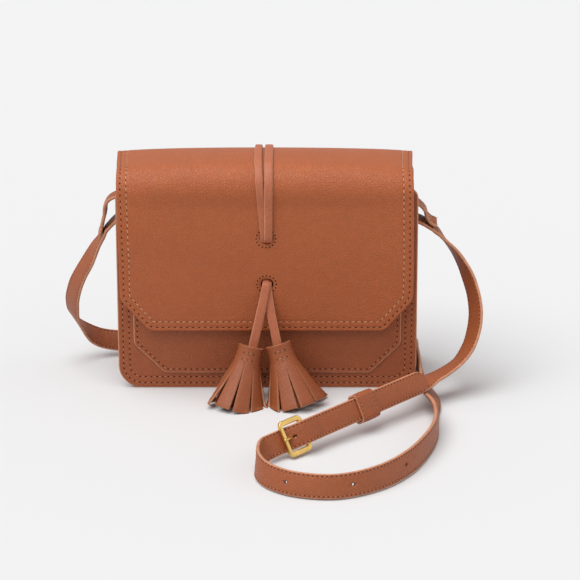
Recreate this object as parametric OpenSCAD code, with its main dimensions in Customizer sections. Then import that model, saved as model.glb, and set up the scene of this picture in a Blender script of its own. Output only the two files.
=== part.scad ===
// Sling bag in leather: a flap-over box bag with a corded tassel fastening and a buckled strap.
// Millimetres. The bag stands on the floor at z = 0, its front faces -Y and +X is its right side.
// The origin is the middle of its footprint.

/* [Body] */
// Width of the front and back panels
body_w = 215; // [190:1:240]
// Depth of the body over its front and back panels
body_d = 60; // [48:1:76]
// Height of the front panel
front_h = 149; // [142:1:152]
// Height of the back panel, where the flap begins
back_h = 154; // [152:1:156]
// Thickness of the panel leather
panel_t = 2.4; // [1.8:0.1:3]
// Radius of the bottom corners of the panels
corner_r = 17; // [12:1:24]
// Width of the sewn flange that turns the gusset out onto the panels
flange_w = 9; // [7:0.5:11]
// Thickness of the gusset leather
gusset_t = 1.8; // [1.4:0.1:2.2]
// Thickness of the fabric lining
lining_t = 0.8; // [0.6:0.1:1]
// Thickness of the stiffening board in the base
board_t = 2; // [1.5:0.5:3]
// Width of the slip pocket inside
pocket_w = 120; // [80:5:150]
// Height of the slip pocket inside
pocket_h = 75; // [50:5:90]

/* [Front patch] */
// Distance of the patch sewn on the front panel from the panel's sides
patch_in = 11.5; // [8:0.5:20]
// Height of the patch
patch_h = 106; // [90:1:112]
// Gap between the lower edge of the patch and the floor
patch_base = 12; // [8:1:16]
// Thickness of the patch leather
patch_t = 1.6; // [1.2:0.1:2]
// Size of the slanted lower corners of the patch
patch_bevel = 22; // [16:1:28]

/* [Flap] */
// How far the front of the flap stays inside the sides of the body
flap_in = 3.5; // [2:0.5:8]
// How far the back of the flap stays inside the sides of the body
flap_in_rear = 0.5; // [0:0.5:2]
// Thickness of the flap leather
flap_t = 2; // [1.6:0.1:2.4]
// Height of the flap's lower edge above the floor
flap_base = 47; // [42:1:54]
// Space left between the flap and the patch below it
flap_gap = 3; // [2.8:0.1:3.6]
// Height of the whole bag, at the outside of the flap
top_h = 163; // [161:1:168]
// Radius of the soft roll at the front of the top
roll_r = 18; // [14:1:22]
// Length of the flap's sewn tail on the back panel
tail_h = 36; // [26:1:44]
// Width of the slanted lower corners of the flap
flap_bevel_w = 22; // [18:1:30]
// Height of the slanted lower corners of the flap
flap_bevel_h = 25; // [20:1:32]

/* [Snap] */
// Diameter of the magnetic snap
snap_d = 16; // [12:1:18]
// Height of the snap's centre above the floor
snap_z = 61; // [60:1:64]

/* [Laces] */
// Width of a lace
lace_w = 6; // [5:0.25:7]
// Thickness of a lace
lace_t = 2.4; // [2:0.1:2.8]
// Width of the two holes in the flap
eye_w = 9; // [9:0.5:10]
// Height of the upper hole's centre
eye_high_z = 112.5; // [108:0.5:118]
// Height of the lower hole's centre
eye_low_z = 81.2; // [79:0.5:84]

/* [Tassels] */
// Diameter of a tassel's head
head_d = 18; // [15:0.5:19]
// Height of a tassel's head
head_h = 11; // [8:0.5:14]
// Thickness of the leather wrapped round the head
head_t = 1.8; // [1.2:0.1:2.2]
// Length of the cut fringe below the head
fringe_l = 36; // [28:1:37]
// Thickness of the fringe leather
fringe_t = 1.6; // [1.2:0.1:2]
// Number of strips round a tassel
strip_n = 12; // [8:1:14]
// Angle at which the outer strips spread
flare = 20; // [12:1:21]

/* [Strap] */
// Width of the strap
strap_w = 16; // [14:0.5:16.5]
// Thickness of the strap
strap_t = 2.6; // [2:0.1:2.8]
// Width of the leather tab that holds each ring
tab_w = 15; // [12:0.5:16]
// Height of the top of the tabs
tab_top = 151; // [148:1:152]
// Thickness of the tab leather
tab_t = 1.8; // [1.4:0.1:2.2]

/* [Metal] */
// Diameter of the wire of the rings
wire_d = 3; // [2.4:0.1:3.4]
// Distance between the two long bars of a ring, centre to centre
ring_l = 10.5; // [9:0.5:12]
// Width of a bar of the buckle
bar_w = 3; // [2.4:0.1:3.2]
// Outer length of the buckle along the strap
buckle_l = 20.5; // [19:0.5:22]
// Outer width of the buckle across the strap
buckle_w = 26; // [24:0.5:26]
// Thickness of the keeper leather
keeper_t = 1.8; // [1.4:0.1:2]
// Length of the keeper along the strap
keeper_l = 16; // [12:1:24]

/* [Hidden] */
$fn = 48;

clear = 0.3;                                   // gap between pieces that move past each other
tan_leather = [0.68, 0.38, 0.24];
dark_leather = [0.55, 0.29, 0.18];
edge_leather = [0.78, 0.50, 0.35];
cloth = [0.60, 0.50, 0.40];
brass = [0.80, 0.62, 0.32];
board_grey = [0.45, 0.42, 0.40];

front_y = -body_d / 2;                         // outer face of the front panel
back_y = body_d / 2;                           // outer face of the back panel
patch_y = front_y - patch_t;                   // outer face of the patch
flap_lining_y = patch_y - flap_gap;            // inner face of the flap's lining
flap_y = flap_lining_y - lining_t - flap_t;    // outer face of the flap at the front
tail_y = back_y + flap_t;                      // outer face of the flap's tail
hinge_z = back_h + 0.5;                        // height of the bend at the back of the top
rear_r = top_h - hinge_z;                      // radius of that bend
gusset_x = body_w / 2 - flange_w;              // outer face of the gusset's sides
gusset_y = body_d / 2 - panel_t;               // inner face of the panels
gusset_r = corner_r - flange_w + 4;            // radius of the gusset's bottom corners
gusset_top = back_h - 1;
inside_x = gusset_x - gusset_t;
inside_z = flange_w + gusset_t;

// ---- outlines -------------------------------------------------------------------------------

function unit(v) = v / norm(v);

// Corner `b` of an outline, between its neighbours `a` and `c`, rounded to radius r
function corner_arc(a, b, c, r, steps = 6) =
    let (
        u = unit(a - b),
        v = unit(c - b),
        half = acos(u * v) / 2,
        reach = r / tan(half),
        centre = b + unit(u + v) * r / sin(half),
        p = b + u * reach - centre,
        q = b + v * reach - centre,
        turn = atan2(p[0] * q[1] - p[1] * q[0], p * q)
    )
    [for (i = [0:steps]) let (t = turn * i / steps)
        centre + [p[0] * cos(t) - p[1] * sin(t), p[0] * sin(t) + p[1] * cos(t)]];

// Outline through the given corners, each rounded to its own radius
function rounded(corners, radii) =
    let (n = len(corners))
    [for (i = [0:n - 1])
        each (radii[i] == 0 ? [corners[i]]
            : corner_arc(corners[(i + n - 1) % n], corners[i], corners[(i + 1) % n], radii[i]))];

function mirror_x(points) = [for (i = [len(points) - 1:-1:0]) [-points[i][0], points[i][1]]];

// A front-view outline of width w from z = low to z = high, with rounded bottom and top corners
function panel_outline(w, low, high, bottom_r, top_r) =
    rounded([[-w / 2, low], [w / 2, low], [w / 2, high], [-w / 2, high]],
            [bottom_r, bottom_r, top_r, top_r]);

// Stands a front-view outline up, from y to y + t
module upright(y, t) {
    translate([0, y + t, 0])
        rotate([90, 0, 0])
            linear_extrude(t)
                children();
}

// Sweeps a side-view outline (depth, height) across the width w
module across(w) {
    translate([-w / 2, 0, 0])
        rotate([90, 0, 90])
            linear_extrude(w)
                children();
}

// ---- body -----------------------------------------------------------------------------------

module front_panel() {
    color(tan_leather)
        upright(front_y, panel_t)
            polygon(panel_outline(body_w, 0, front_h, corner_r, 6));
}

module back_panel() {
    color(tan_leather)
        upright(back_y - panel_t, panel_t)
            polygon(panel_outline(body_w, 0, back_h, corner_r, 4));
}

module front_patch() {
    half = body_w / 2 - patch_in;
    top = patch_base + patch_h;
    side = [[half - patch_bevel, patch_base], [half, patch_base + patch_bevel], [half, top]];
    color(dark_leather)
        upright(patch_y, patch_t)
            polygon(rounded(concat(side, mirror_x(side)), [7, 7, 3, 3, 7, 7]));
}

// The band round the sides and the base, with its two edges turned out as flanges
module gusset() {
    color(tan_leather)
        difference() {
            union() {
                upright(-gusset_y, 2 * gusset_y)
                    polygon(panel_outline(2 * gusset_x, flange_w, gusset_top, gusset_r, 0));
                for (y = [-gusset_y, gusset_y - gusset_t])
                    upright(y, gusset_t)
                        intersection() {
                            polygon(panel_outline(body_w, 0, front_h, corner_r, 6));
                            square([2 * body_w, 2 * gusset_top], center = true);
                        }
            }
            upright(-body_d, 2 * body_d)
                polygon(panel_outline(2 * inside_x, inside_z, 2 * top_h, gusset_r - gusset_t, 0));
        }
}

module base_board() {
    color(board_grey)
        translate([-(inside_x - gusset_r), -gusset_y, inside_z])
            cube([2 * (inside_x - gusset_r), 2 * gusset_y, board_t]);
}

// An open-topped fabric box inside the gusset, over the board
module lining() {
    lining_z = inside_z + board_t;
    wall_x = inside_x;
    color(cloth)
        difference() {
            upright(-gusset_y, 2 * gusset_y)
                polygon(panel_outline(2 * wall_x, lining_z, gusset_top, gusset_r - gusset_t, 0));
            upright(-gusset_y + lining_t, 2 * (gusset_y - lining_t))
                polygon(panel_outline(2 * (wall_x - lining_t), lining_z + lining_t, 2 * top_h,
                                      gusset_r - gusset_t - lining_t, 0));
            // the front wall ends with the front panel
            translate([-body_w, -body_d, front_h - 1])
                cube([2 * body_w, body_d - gusset_y + lining_t + clear, top_h]);
        }
}

// A flat slip pocket on the back wall of the lining
module inner_pocket() {
    pocket_top = 128;
    color(cloth)
        upright(gusset_y - 2 * lining_t, lining_t)
            polygon(panel_outline(pocket_w, pocket_top - pocket_h, pocket_top, 8, 2));
}

// ---- flap -----------------------------------------------------------------------------------

// A quarter ring: outer radius r, thickness t, in the quadrant that qx and qy point to
module quarter(centre, r, t, qx, qy) {
    translate(centre)
        intersection() {
            difference() {
                circle(r);
                circle(r - t);
            }
            translate([qx > 0 ? 0 : -r, qy > 0 ? 0 : -r])
                square(r);
        }
}

// Side view of the sheet that runs up the front, over the top and round the rear bend,
// from `deep` below the outer surface, t thick
module roll_section(low, deep, t) {
    r = roll_r - deep;
    translate([flap_y + deep, low])
        square([t, top_h - roll_r - low]);
    quarter([flap_y + roll_r, top_h - roll_r], r, t, -1, 1);
    translate([flap_y + roll_r, top_h - deep - t])
        square([tail_y - rear_r - flap_y - roll_r, t]);
    quarter([tail_y - rear_r, hinge_z], rear_r - deep, t, 1, 1);
}

// Front-view outline of the flap, drawn in by `inset` at its cut edges
module flap_outline(inset) {
    half = body_w / 2 - flap_in_rear - inset;
    low = body_w / 2 - flap_in - inset;
    base = flap_base + inset;
    side = [[low - flap_bevel_w, base], [low, base + flap_bevel_h], [low, top_h - 30], [half, top_h - 30],
            [half, top_h + 20]];
    polygon(rounded(concat(side, mirror_x(side)), [9, 11, 0, 0, 0, 0, 0, 0, 11, 9]));
}

// Plan outline of the flap: it widens from the front of the top to the back
module flap_plan(inset) {
    fore = body_w / 2 - flap_in - inset;
    rear = body_w / 2 - flap_in_rear - inset;
    edge = [[fore, flap_y - lace_t], [fore, flap_y + roll_r], [rear, tail_y - rear_r],
            [rear, tail_y + lace_t]];
    polygon(concat(edge, mirror_x(edge)));
}

// One of the two holes, as a slot through the front of the flap
module eye(z) {
    translate([0, 0, z])
        rotate([90, 0, 0])
            translate([0, 0, -flap_y - flap_gap - flap_t])
                linear_extrude(2 * (flap_gap + flap_t))
                    polygon(panel_outline(eye_w, -eye_w / 2 + 0.5, eye_w / 2 - 0.5, 3.8, 3.8));
}

module flap_sheet(low, deep, t, inset) {
    difference() {
        intersection() {
            across(body_w)
                roll_section(low, deep, t);
            upright(flap_y - lace_t, 2 * body_d)
                flap_outline(inset);
            linear_extrude(2 * top_h)
                flap_plan(inset);
        }
        translate([-body_w, tail_y - rear_r, 0])
            cube([2 * body_w, body_d, hinge_z + clear]);
        eye(eye_high_z);
        eye(eye_low_z);
    }
}

module flap() {
    color(tan_leather)
        flap_sheet(flap_base, 0, flap_t, 0);
}

module flap_lining() {
    color(dark_leather)
        flap_sheet(flap_base, flap_t, lining_t, 2);
}

// The end of the flap that is sewn down on the back panel
module flap_tail() {
    rear = body_w / 2 - flap_in_rear;
    color(tan_leather)
        upright(back_y, flap_t)
            polygon(panel_outline(2 * rear, hinge_z - tail_h, hinge_z, 12, 0));
}

// ---- magnetic snap --------------------------------------------------------------------------

module snap_socket() {
    thick = flap_gap * 0.55;
    color(brass)
        translate([0, patch_y, snap_z])
            rotate([90, 0, 0])
                difference() {
                    cylinder(d = snap_d, h = thick);
                    translate([0, 0, thick - 1])
                        cylinder(d = snap_d / 2, h = thick);
                }
}

module snap_stud() {
    thick = flap_gap * 0.45 - clear;
    color(brass)
        translate([0, flap_lining_y, snap_z])
            rotate([-90, 0, 0])
                union() {
                    cylinder(d = snap_d, h = thick);
                    cylinder(d = snap_d / 2 - 1, h = thick + clear + 0.6);
                }
}

// ---- laces ----------------------------------------------------------------------------------

lace_mid = -2.4;                               // the pair of laces lies a little left of the middle
lace_side = lace_w / 2 + 0.9;                  // half the spacing of the laces on the top
lace_eye = [-3, 0.8];                          // middles of the left and right lace at the upper hole
plug_w = eye_w / 2 - 0.5;                      // width of a lace where it is squeezed in a hole
run_y = patch_y - (flap_gap + lace_t) / 2;     // front of the run behind the flap's lining
drop_y = flap_y - lace_t / 2 - 2 * clear;      // where the laces hang from their holes
drop_top = [[-(plug_w + clear) / 2, drop_y, 80.5], [(plug_w + clear) / 2, drop_y, 80.5]];

// Side view of a lace over the flap, from its upper hole to the rear bend
module lace_section() {
    translate([flap_y - lace_t, eye_high_z - 1])
        square([lace_t, top_h - roll_r - eye_high_z + 1]);
    quarter([flap_y + roll_r, top_h - roll_r], roll_r + lace_t, lace_t, -1, 1);
    translate([flap_y + roll_r, top_h])
        square([tail_y - rear_r - flap_y - roll_r, lace_t]);
    quarter([tail_y - rear_r, hinge_z], rear_r + lace_t, lace_t, 1, 1);
}

// Front view of a lace: straight on the top and slanting to its place at the upper hole
module lace_band(top_x, eye_x, extra = 0) {
    w = lace_w / 2 + extra;
    low = eye_high_z - 1;
    polygon([[eye_x - w, low], [eye_x + w, low], [top_x + w, top_h - 2], [top_x + w, top_h + 20],
             [top_x - w, top_h + 20], [top_x - w, top_h - 2]]);
}

// The run of a lace through the upper hole, down behind the flap and out of the lower hole
module lace_run(side) {
    x = side < 0 ? -plug_w - clear / 2 : clear / 2;
    out_y = drop_y + lace_t / 2 + clear;
    translate([x, flap_y - 0.1, eye_high_z - 1])
        cube([plug_w, run_y + lace_t - flap_y + 0.1, 3]);
    translate([x, run_y, drop_top[0][2] - 1.5])
        cube([plug_w, lace_t, eye_high_z + 2 - drop_top[0][2] + 1.5]);
    translate([x, out_y, drop_top[0][2] - 1.5])
        cube([plug_w, run_y + lace_t - out_y, 3]);
}

module lace_over(side, extra = 0) {
    i = side < 0 ? 0 : 1;
    intersection() {
        across(40)
            lace_section();
        upright(flap_y - 2 * lace_t, 2 * body_d)
            lace_band(lace_mid + side * lace_side, lace_eye[i], extra);
    }
}

module lace_clearance() {
    translate([-body_w, tail_y - rear_r, 0])
        cube([2 * body_w, body_d, hinge_z + clear]);
}

// The left lace is drawn narrower at the hole, where the right one lies over it
module lace_left() {
    color(tan_leather)
        difference() {
            union() {
                lace_over(-1);
                lace_run(-1);
            }
            lace_over(1, clear);
            lace_clearance();
        }
}

module lace_right() {
    color(tan_leather)
        difference() {
            union() {
                lace_over(1);
                lace_run(1);
            }
            lace_clearance();
        }
}

// The rear end of a lace, sewn down on the tail of the flap
module lace_tail(side) {
    x = lace_mid + side * lace_side;
    color(tan_leather)
        upright(tail_y, lace_t)
            polygon(rounded([[x - lace_w / 2, hinge_z - 24], [x + lace_w / 2, hinge_z - 24],
                             [x + lace_w / 2, hinge_z], [x - lace_w / 2, hinge_z]], [2, 2, 0, 0]));
}

module lace_tail_left() {
    lace_tail(-1);
}

module lace_tail_right() {
    lace_tail(1);
}

// ---- tassels --------------------------------------------------------------------------------

drop_len = [48, 46];                           // length of each lace, with its end in the tassel
drop_in = 4;                                   // how much of that end is inside the tassel
drop_lean = [14.2, 13.5];                      // how far each lace leans forward
drop_roll = [12.2, -8];                        // how far each lace leans sideways
head_lean = [16.3, 15.7];
head_roll = [14.5, -17.5];
floor_gap = 0.4;

// Places a child whose -Z axis points down a lace or a tassel
module hung(place, lean, roll) {
    translate(place)
        rotate([-lean, roll, 0])
            children();
}

function hang_dir(lean, roll) = [-cos(lean) * sin(roll), -sin(lean), -cos(lean) * cos(roll)];

function head_place(i) = drop_top[i] + (drop_len[i] - drop_in) * hang_dir(drop_lean[i], drop_roll[i]);

// A lace is squeezed to half the hole where it comes out, and lies flat further down
module lace_drop_shape(i) {
    half = lace_w / 2;
    neck = (plug_w - 2 * clear) / 2;
    hung(drop_top[i], drop_lean[i], drop_roll[i])
        union() {
            rotate([0, 90, 0])
                cylinder(d = lace_t, h = 2 * neck, center = true);
            translate([0, lace_t / 2, 0])
                rotate([90, 0, 0])
                    linear_extrude(lace_t)
                        polygon([[-neck, 0], [-neck, -6], [-half, -12], [-half, -drop_len[i]],
                                 [half, -drop_len[i]], [half, -12], [neck, -6], [neck, 0]]);
        }
}

module lace_drop(i) {
    color(tan_leather)
        lace_drop_shape(i);
}

module tassel_head(i) {
    color(tan_leather)
        hung(head_place(i), head_lean[i], head_roll[i])
            translate([0, 0, -head_h])
                difference() {
                    cylinder(d = head_d, h = head_h);
                    translate([0, 0, -1])
                        cylinder(d = head_d - 2 * head_t, h = head_h + 2);
                }
}

// One cut strip, narrow just below the head and wide at its end
module strip(top_w, end_w, length) {
    rotate([0, 90, 0])
        linear_extrude(fringe_t)
            polygon([[1, top_w / 2], [1, -top_w / 2], [length, -end_w / 2], [length, end_w / 2]]);
}

module tassel_fringe(i) {
    core_r = head_d / 2 - head_t;
    top_w = 2 * PI * core_r / strip_n;
    color(tan_leather)
        difference() {
            intersection() {
                hung(head_place(i), head_lean[i], head_roll[i])
                    translate([0, 0, -head_h])
                        union() {
                            cylinder(r = core_r, h = head_h - 0.8);
                            translate([0, 0, -3])
                                cylinder(r1 = core_r + 1, r2 = core_r - 0.1, h = 3.1);
                            for (k = [0:strip_n - 1])
                                rotate([0, 0, 360 * (k + 0.5) / strip_n])
                                    translate([core_r - fringe_t, 0, 0])
                                        rotate([0, -flare, 0])
                                            strip(top_w, 2.1 * top_w, fringe_l);
                            for (k = [0:strip_n / 2 - 1])
                                rotate([0, 0, 720 * k / strip_n])
                                    translate([core_r / 2, 0, 0])
                                        rotate([0, -flare / 2, 0])
                                            strip(top_w, 1.7 * top_w, fringe_l - 2);
                        }
                translate([-body_w / 2, -2 * body_d, floor_gap])
                    cube([body_w, 2 * body_d, top_h]);
            }
            lace_drop_shape(i);
        }
}

module lace_drop_left() {
    lace_drop(0);
}

module lace_drop_right() {
    lace_drop(1);
}

module tassel_head_left() {
    tassel_head(0);
}

module tassel_head_right() {
    tassel_head(1);
}

module tassel_fringe_left() {
    tassel_fringe(0);
}

module tassel_fringe_right() {
    tassel_fringe(1);
}

// ---- strap rings ----------------------------------------------------------------------------

wire_r = wire_d / 2;
tab_loop_r = wire_r + 0.1 + tab_t;             // outside of the tab where it turns round the ring
ring_x = gusset_x + tab_loop_r;                // upper bar of the right ring
ring_z = 138;
ring_lean = [26, 9];                           // left and right ring, leaning away from the bag
ring_in = strap_w + 2;                         // clear width inside a ring
fold_r = 7.5;                                  // outside of the strap's turn round its ring
fold_len = [20, 22];                           // from the middle of each turn to its sewn end
fold_tilt = [32, 49];                          // left and right strap ends, from straight down

function fold_x(i) = ring_x + ring_l * sin(ring_lean[i]) + fold_r - strap_t - wire_r - clear;
function fold_z(i) = ring_z - ring_l * cos(ring_lean[i]) - 0.8;

// A leather tab sewn on the gusset, turned round the upper bar of the ring
module tab() {
    flat_t = 2 * tab_t;
    color(tan_leather)
        difference() {
            union() {
                translate([ring_x, tab_w / 2, ring_z])
                    rotate([90, 0, 0])
                        cylinder(r = tab_loop_r, h = tab_w);
                translate([gusset_x, -tab_w / 2, ring_z])
                    cube([flat_t, tab_w, tab_top - ring_z - tab_w / 3]);
                translate([gusset_x, 0, tab_top - tab_w / 2])
                    rotate([0, 90, 0])
                        cylinder(d = tab_w, h = flat_t);
            }
            translate([ring_x, body_d / 2, ring_z])
                rotate([90, 0, 0])
                    cylinder(r = wire_r + 0.1, h = body_d);
        }
}

// A rectangular wire ring with round bars, drawn with its upper bar on the Y axis
module wire_ring() {
    half = ring_in / 2 + wire_r;
    for (z = [0, -ring_l])
        translate([0, half, z])
            rotate([90, 0, 0])
                cylinder(r = wire_r, h = 2 * half);
    for (y = [-half, half])
        translate([0, y, -ring_l])
            cylinder(r = wire_r, h = ring_l);
    for (y = [-half, half], z = [0, -ring_l])
        translate([0, y, z])
            sphere(r = wire_r);
}

module ring(i) {
    color(brass)
        translate([ring_x, 0, ring_z])
            rotate([0, -ring_lean[i], 0])
                wire_ring();
}

// The strap's end, turned round the ring and sewn back on itself
module strap_fold(i) {
    color(tan_leather)
        translate([fold_x(i), strap_w / 2, fold_z(i)])
            rotate([90, 0, 0])
                linear_extrude(strap_w)
                    rotate(fold_tilt[i] - 90)
                        difference() {
                            hull() {
                                circle(fold_r);
                                translate([fold_len[i] - 1, -strap_t])
                                    square([1, 2 * strap_t]);
                            }
                            hull() {
                                circle(fold_r - strap_t);
                                translate([fold_len[i] - 8, -0.05])
                                    square([0.1, 0.1]);
                            }
                        }
}

module tab_right() {
    tab();
}

module tab_left() {
    mirror([1, 0, 0])
        tab();
}

module ring_right() {
    ring(1);
}

module ring_left() {
    mirror([1, 0, 0])
        ring(0);
}

module strap_fold_right() {
    strap_fold(1);
}

module strap_fold_left() {
    mirror([1, 0, 0])
        strap_fold(0);
}

// ---- buckle and the straight stack of strap behind it ---------------------------------------

// The buckle stands on its edge. "Along" runs from its front bar to the strap's tip,
// "back" points away from the strap's outer face, and the stack leans back.
stack_place = [12.8, -160, 12.4];
stack_turn = 43.2;
stack_rise = 3.3;
stack_lean = 30;
heel_along = buckle_l - bar_w;                 // middle of the heel bar
heel_r = bar_w / 2 + 0.2 + 1.6;                // outside of the strap's turn round the heel bar
heel_end = 42;                                 // where the turned end is sewn off
tip_along = 138;                               // the strap's rounded tip
tip_start = -10;
tip_back = -(1.6 + clear + strap_t / 2);       // middle of the tip where it lies on the short strap
keeper_along = 65;

function turn_z(a, v) = [v[0] * cos(a) - v[1] * sin(a), v[0] * sin(a) + v[1] * cos(a), v[2]];
function turn_y(a, v) = [v[0] * cos(a) + v[2] * sin(a), v[1], v[2] * cos(a) - v[0] * sin(a)];
function turn_x(a, v) = [v[0], v[1] * cos(a) - v[2] * sin(a), v[1] * sin(a) + v[2] * cos(a)];
function stack_dir(v) = turn_z(stack_turn, turn_y(-stack_rise, turn_x(-stack_lean, v)));
function stack_point(along, back) = stack_place + stack_dir([along, back, 0]);

module on_stack() {
    translate(stack_place)
        rotate([-stack_lean, -stack_rise, stack_turn])
            children();
}

// Draws a plan outline (along, back) as wide as w, centred on the strap
module stack_slab(w) {
    translate([0, 0, -w / 2])
        linear_extrude(w)
            children();
}

function ease(t) = t <= 0 ? 0 : t >= 1 ? 1 : (1 - cos(180 * t)) / 2;

// How far back the middle of the tip section lies: under the front bar, then over the heel bar
under_bar = bar_w / 2 + clear + strap_t / 2;
over_heel = -(heel_r + clear + strap_t / 2);
function tip_course(s) = under_bar + (over_heel - under_bar) * ease(s / (heel_along - 1))
    + (tip_back - over_heel) * ease((s - heel_along - 1) / 12);

module strap_tip() {
    steps = concat([for (s = [tip_start:2:34]) s], [tip_along]);
    slope = function(s) tip_course(s + 0.1) - tip_course(s - 0.1);
    side = function(s, k) [s, tip_course(s) + k * strap_t / 2 * sqrt(1 + pow(slope(s) / 0.2, 2))];
    face = [for (s = steps) side(s, -1)];
    rear = [for (i = [len(steps) - 1:-1:0]) side(steps[i], 1)];
    tip_r = strap_w / 2 - 1.5;
    color(tan_leather)
        on_stack()
            difference() {
                intersection() {
                    stack_slab(strap_w)
                        polygon(concat(face, rear));
                    rotate([90, 0, 0])
                        translate([0, 0, -20])
                            linear_extrude(40)
                                polygon(rounded([[tip_start, -strap_w / 2], [tip_along, -strap_w / 2],
                                                 [tip_along, strap_w / 2], [tip_start, strap_w / 2]],
                                                [0, tip_r, tip_r, 0]));
                }
                // the punched hole that the prong comes through
                translate([5.6, -10, -1.7])
                    cube([10.6, 20, 3.4]);
            }
}

// The end of the short strap, turned round the heel bar, with a slot for the prong
module strap_heel() {
    color(tan_leather)
        on_stack()
            difference() {
                stack_slab(strap_w)
                    union() {
                        translate([heel_along, 0])
                            circle(heel_r);
                        translate([heel_along, -1.6])
                            square([heel_end - heel_along, 3.2]);
                    }
                translate([heel_along, 0, -body_d / 2])
                    cylinder(d = bar_w + 0.4, h = body_d);
                translate([heel_along - 6, -10, -2.2])
                    cube([11, 20, 4.4]);
            }
}

// A cast frame with rounded corners and a round heel bar
module buckle_frame() {
    inner = buckle_w / 2 - bar_w;
    color(brass)
        on_stack()
            union() {
                rotate([90, 0, 0])
                    translate([0, 0, -1.2])
                        linear_extrude(2.4)
                            difference() {
                                polygon(rounded([[-bar_w / 2, -buckle_w / 2], [heel_along, -buckle_w / 2],
                                                 [heel_along, buckle_w / 2], [-bar_w / 2, buckle_w / 2]],
                                                [3, 0.8, 0.8, 3]));
                                translate([bar_w / 2, -inner])
                                    square([buckle_l, 2 * inner]);
                            }
                translate([heel_along, 0, -buckle_w / 2])
                    cylinder(d = bar_w, h = buckle_w);
            }
}

prong_d = 2;
prong_loop_d = bar_w + 0.4 + 2.2;

module buckle_prong() {
    reach = heel_along + bar_w / 2 + 0.8;
    rest_back = -(bar_w / 2 + prong_d / 2 + 0.1);
    start_back = -1.5;
    color(brass)
        on_stack()
            difference() {
                union() {
                    translate([heel_along, 0, -1.6])
                        cylinder(d = prong_loop_d, h = 3.2);
                    translate([heel_along, start_back, 0])
                        rotate([0, 0, atan((start_back - rest_back) / heel_along)])
                            rotate([0, -90, 0])
                                cylinder(d = prong_d, h = reach);
                }
                translate([heel_along, 0, -buckle_w])
                    cylinder(d = bar_w + 0.2, h = 2 * buckle_w);
            }
}

// A loose leather loop round the short strap and the tip
module keeper() {
    front = tip_back - strap_t / 2 - clear;
    rear = strap_t / 2 + clear;
    half = strap_w / 2 + clear;
    color(dark_leather)
        on_stack()
            translate([keeper_along, 0, 0])
                rotate([90, 0, 90])
                    linear_extrude(keeper_l)
                        difference() {
                            polygon(rounded([[front - keeper_t, -half - keeper_t], [rear + keeper_t, -half - keeper_t],
                                             [rear + keeper_t, half + keeper_t], [front - keeper_t, half + keeper_t]],
                                            [2, 2, 2, 2]));
                            translate([front, -half])
                                square([rear - front, 2 * half]);
                        }
}

// ---- strap ----------------------------------------------------------------------------------

// Where each folded end hands over to its strap: `past` beyond the fold, on its inner layer
hand_over = 0.8;
lead = 3.5;
function fold_end(i, side, past = hand_over) =
    let (tilt = fold_tilt[i], along = fold_len[i] + past)
    [side * (fold_x(i) + along * sin(tilt) - strap_t / 2 * cos(tilt)), 0,
     fold_z(i) - along * cos(tilt) - strap_t / 2 * sin(tilt)];
stack_up = stack_dir([0, 0, 1]);

// Each row is a place on the middle of the strap and the way its width points there.
// The long strap: from the left ring down, behind the bag, forward past its right side,
// round the loop on the floor and up to the buckle.
long_route = [
    [fold_end(0, -1), [0, 1, 0]],
    [fold_end(0, -1, lead), [0, 1, 0]],
    [[-124.8, 1, 99], [-0.2, 1, 0]],
    [[-130.5, 3, 87], [-0.5, 1, 0.1]],
    [[-140, 8, 68], [-0.75, 1, 0.1]],
    [[-145, 14, 53], [-0.85, 1, 0.2]],
    [[-145.5, 21, 40], [-0.7, 1, 0.4]],
    [[-141.5, 28, 27], [-0.4, 0.9, 0.7]],
    [[-134, 35, 17.5], [-0.1, 0.75, 1]],
    [[-122, 40, 12.3], [0, 0.55, 1]],
    [[-100, 42, 10.3], [0, 0.35, 1]],
    [[-60, 42, 9], [0, 0.1, 1]],
    [[0, 43, 8.8], [0, 0, 1]],
    [[60, 42, 8.8], [0, 0, 1]],
    [[92, 41, 8.8], [0, 0, 1]],
    [[106, 37.5, 8.8], [0, 0, 1]],
    [[111, 30, 8.8], [0, 0, 1]],
    [[111, 15, 8.8], [0, 0, 1]],
    [[111, -5, 8.8], [0, 0, 1]],
    [[112, -24, 8.6], [-0.2, 0, 1]],
    [[114.5, -42, 7.6], [-0.7, 0, 1]],
    [[116.5, -60, 6.3], [-1.3, -0.1, 1]],
    [[116.8, -71, 6.3], [-1.3, -0.1, 1]],
    [[116.5, -85, 8], [-0.5, -0.1, 1]],
    [[116.5, -105, 8.8], [-0.15, 0, 1]],
    [[114.5, -130, 8.8], [-0.1, 0, 1]],
    [[107, -157, 8.8], [-0.15, 0.05, 1]],
    [[93, -187, 8.7], [-0.2, 0.2, 1]],
    [[73, -211, 8.5], [-0.15, 0.25, 1]],
    [[47, -225, 8.5], [0, 0.28, 1]],
    [[21, -222, 8.5], [0.1, 0.28, 1]],
    [[3, -209, 8.6], [0.2, 0.2, 1]],
    [[-4.5, -192, 9], [0.15, 0.1, 1]],
    [[-2.5, -176.5, 9.8], [-0.2, 0.2, 1]],
    [stack_point(tip_start - lead, under_bar), stack_up],
    [stack_point(tip_start - 3 * clear, under_bar), stack_up]
];

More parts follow.
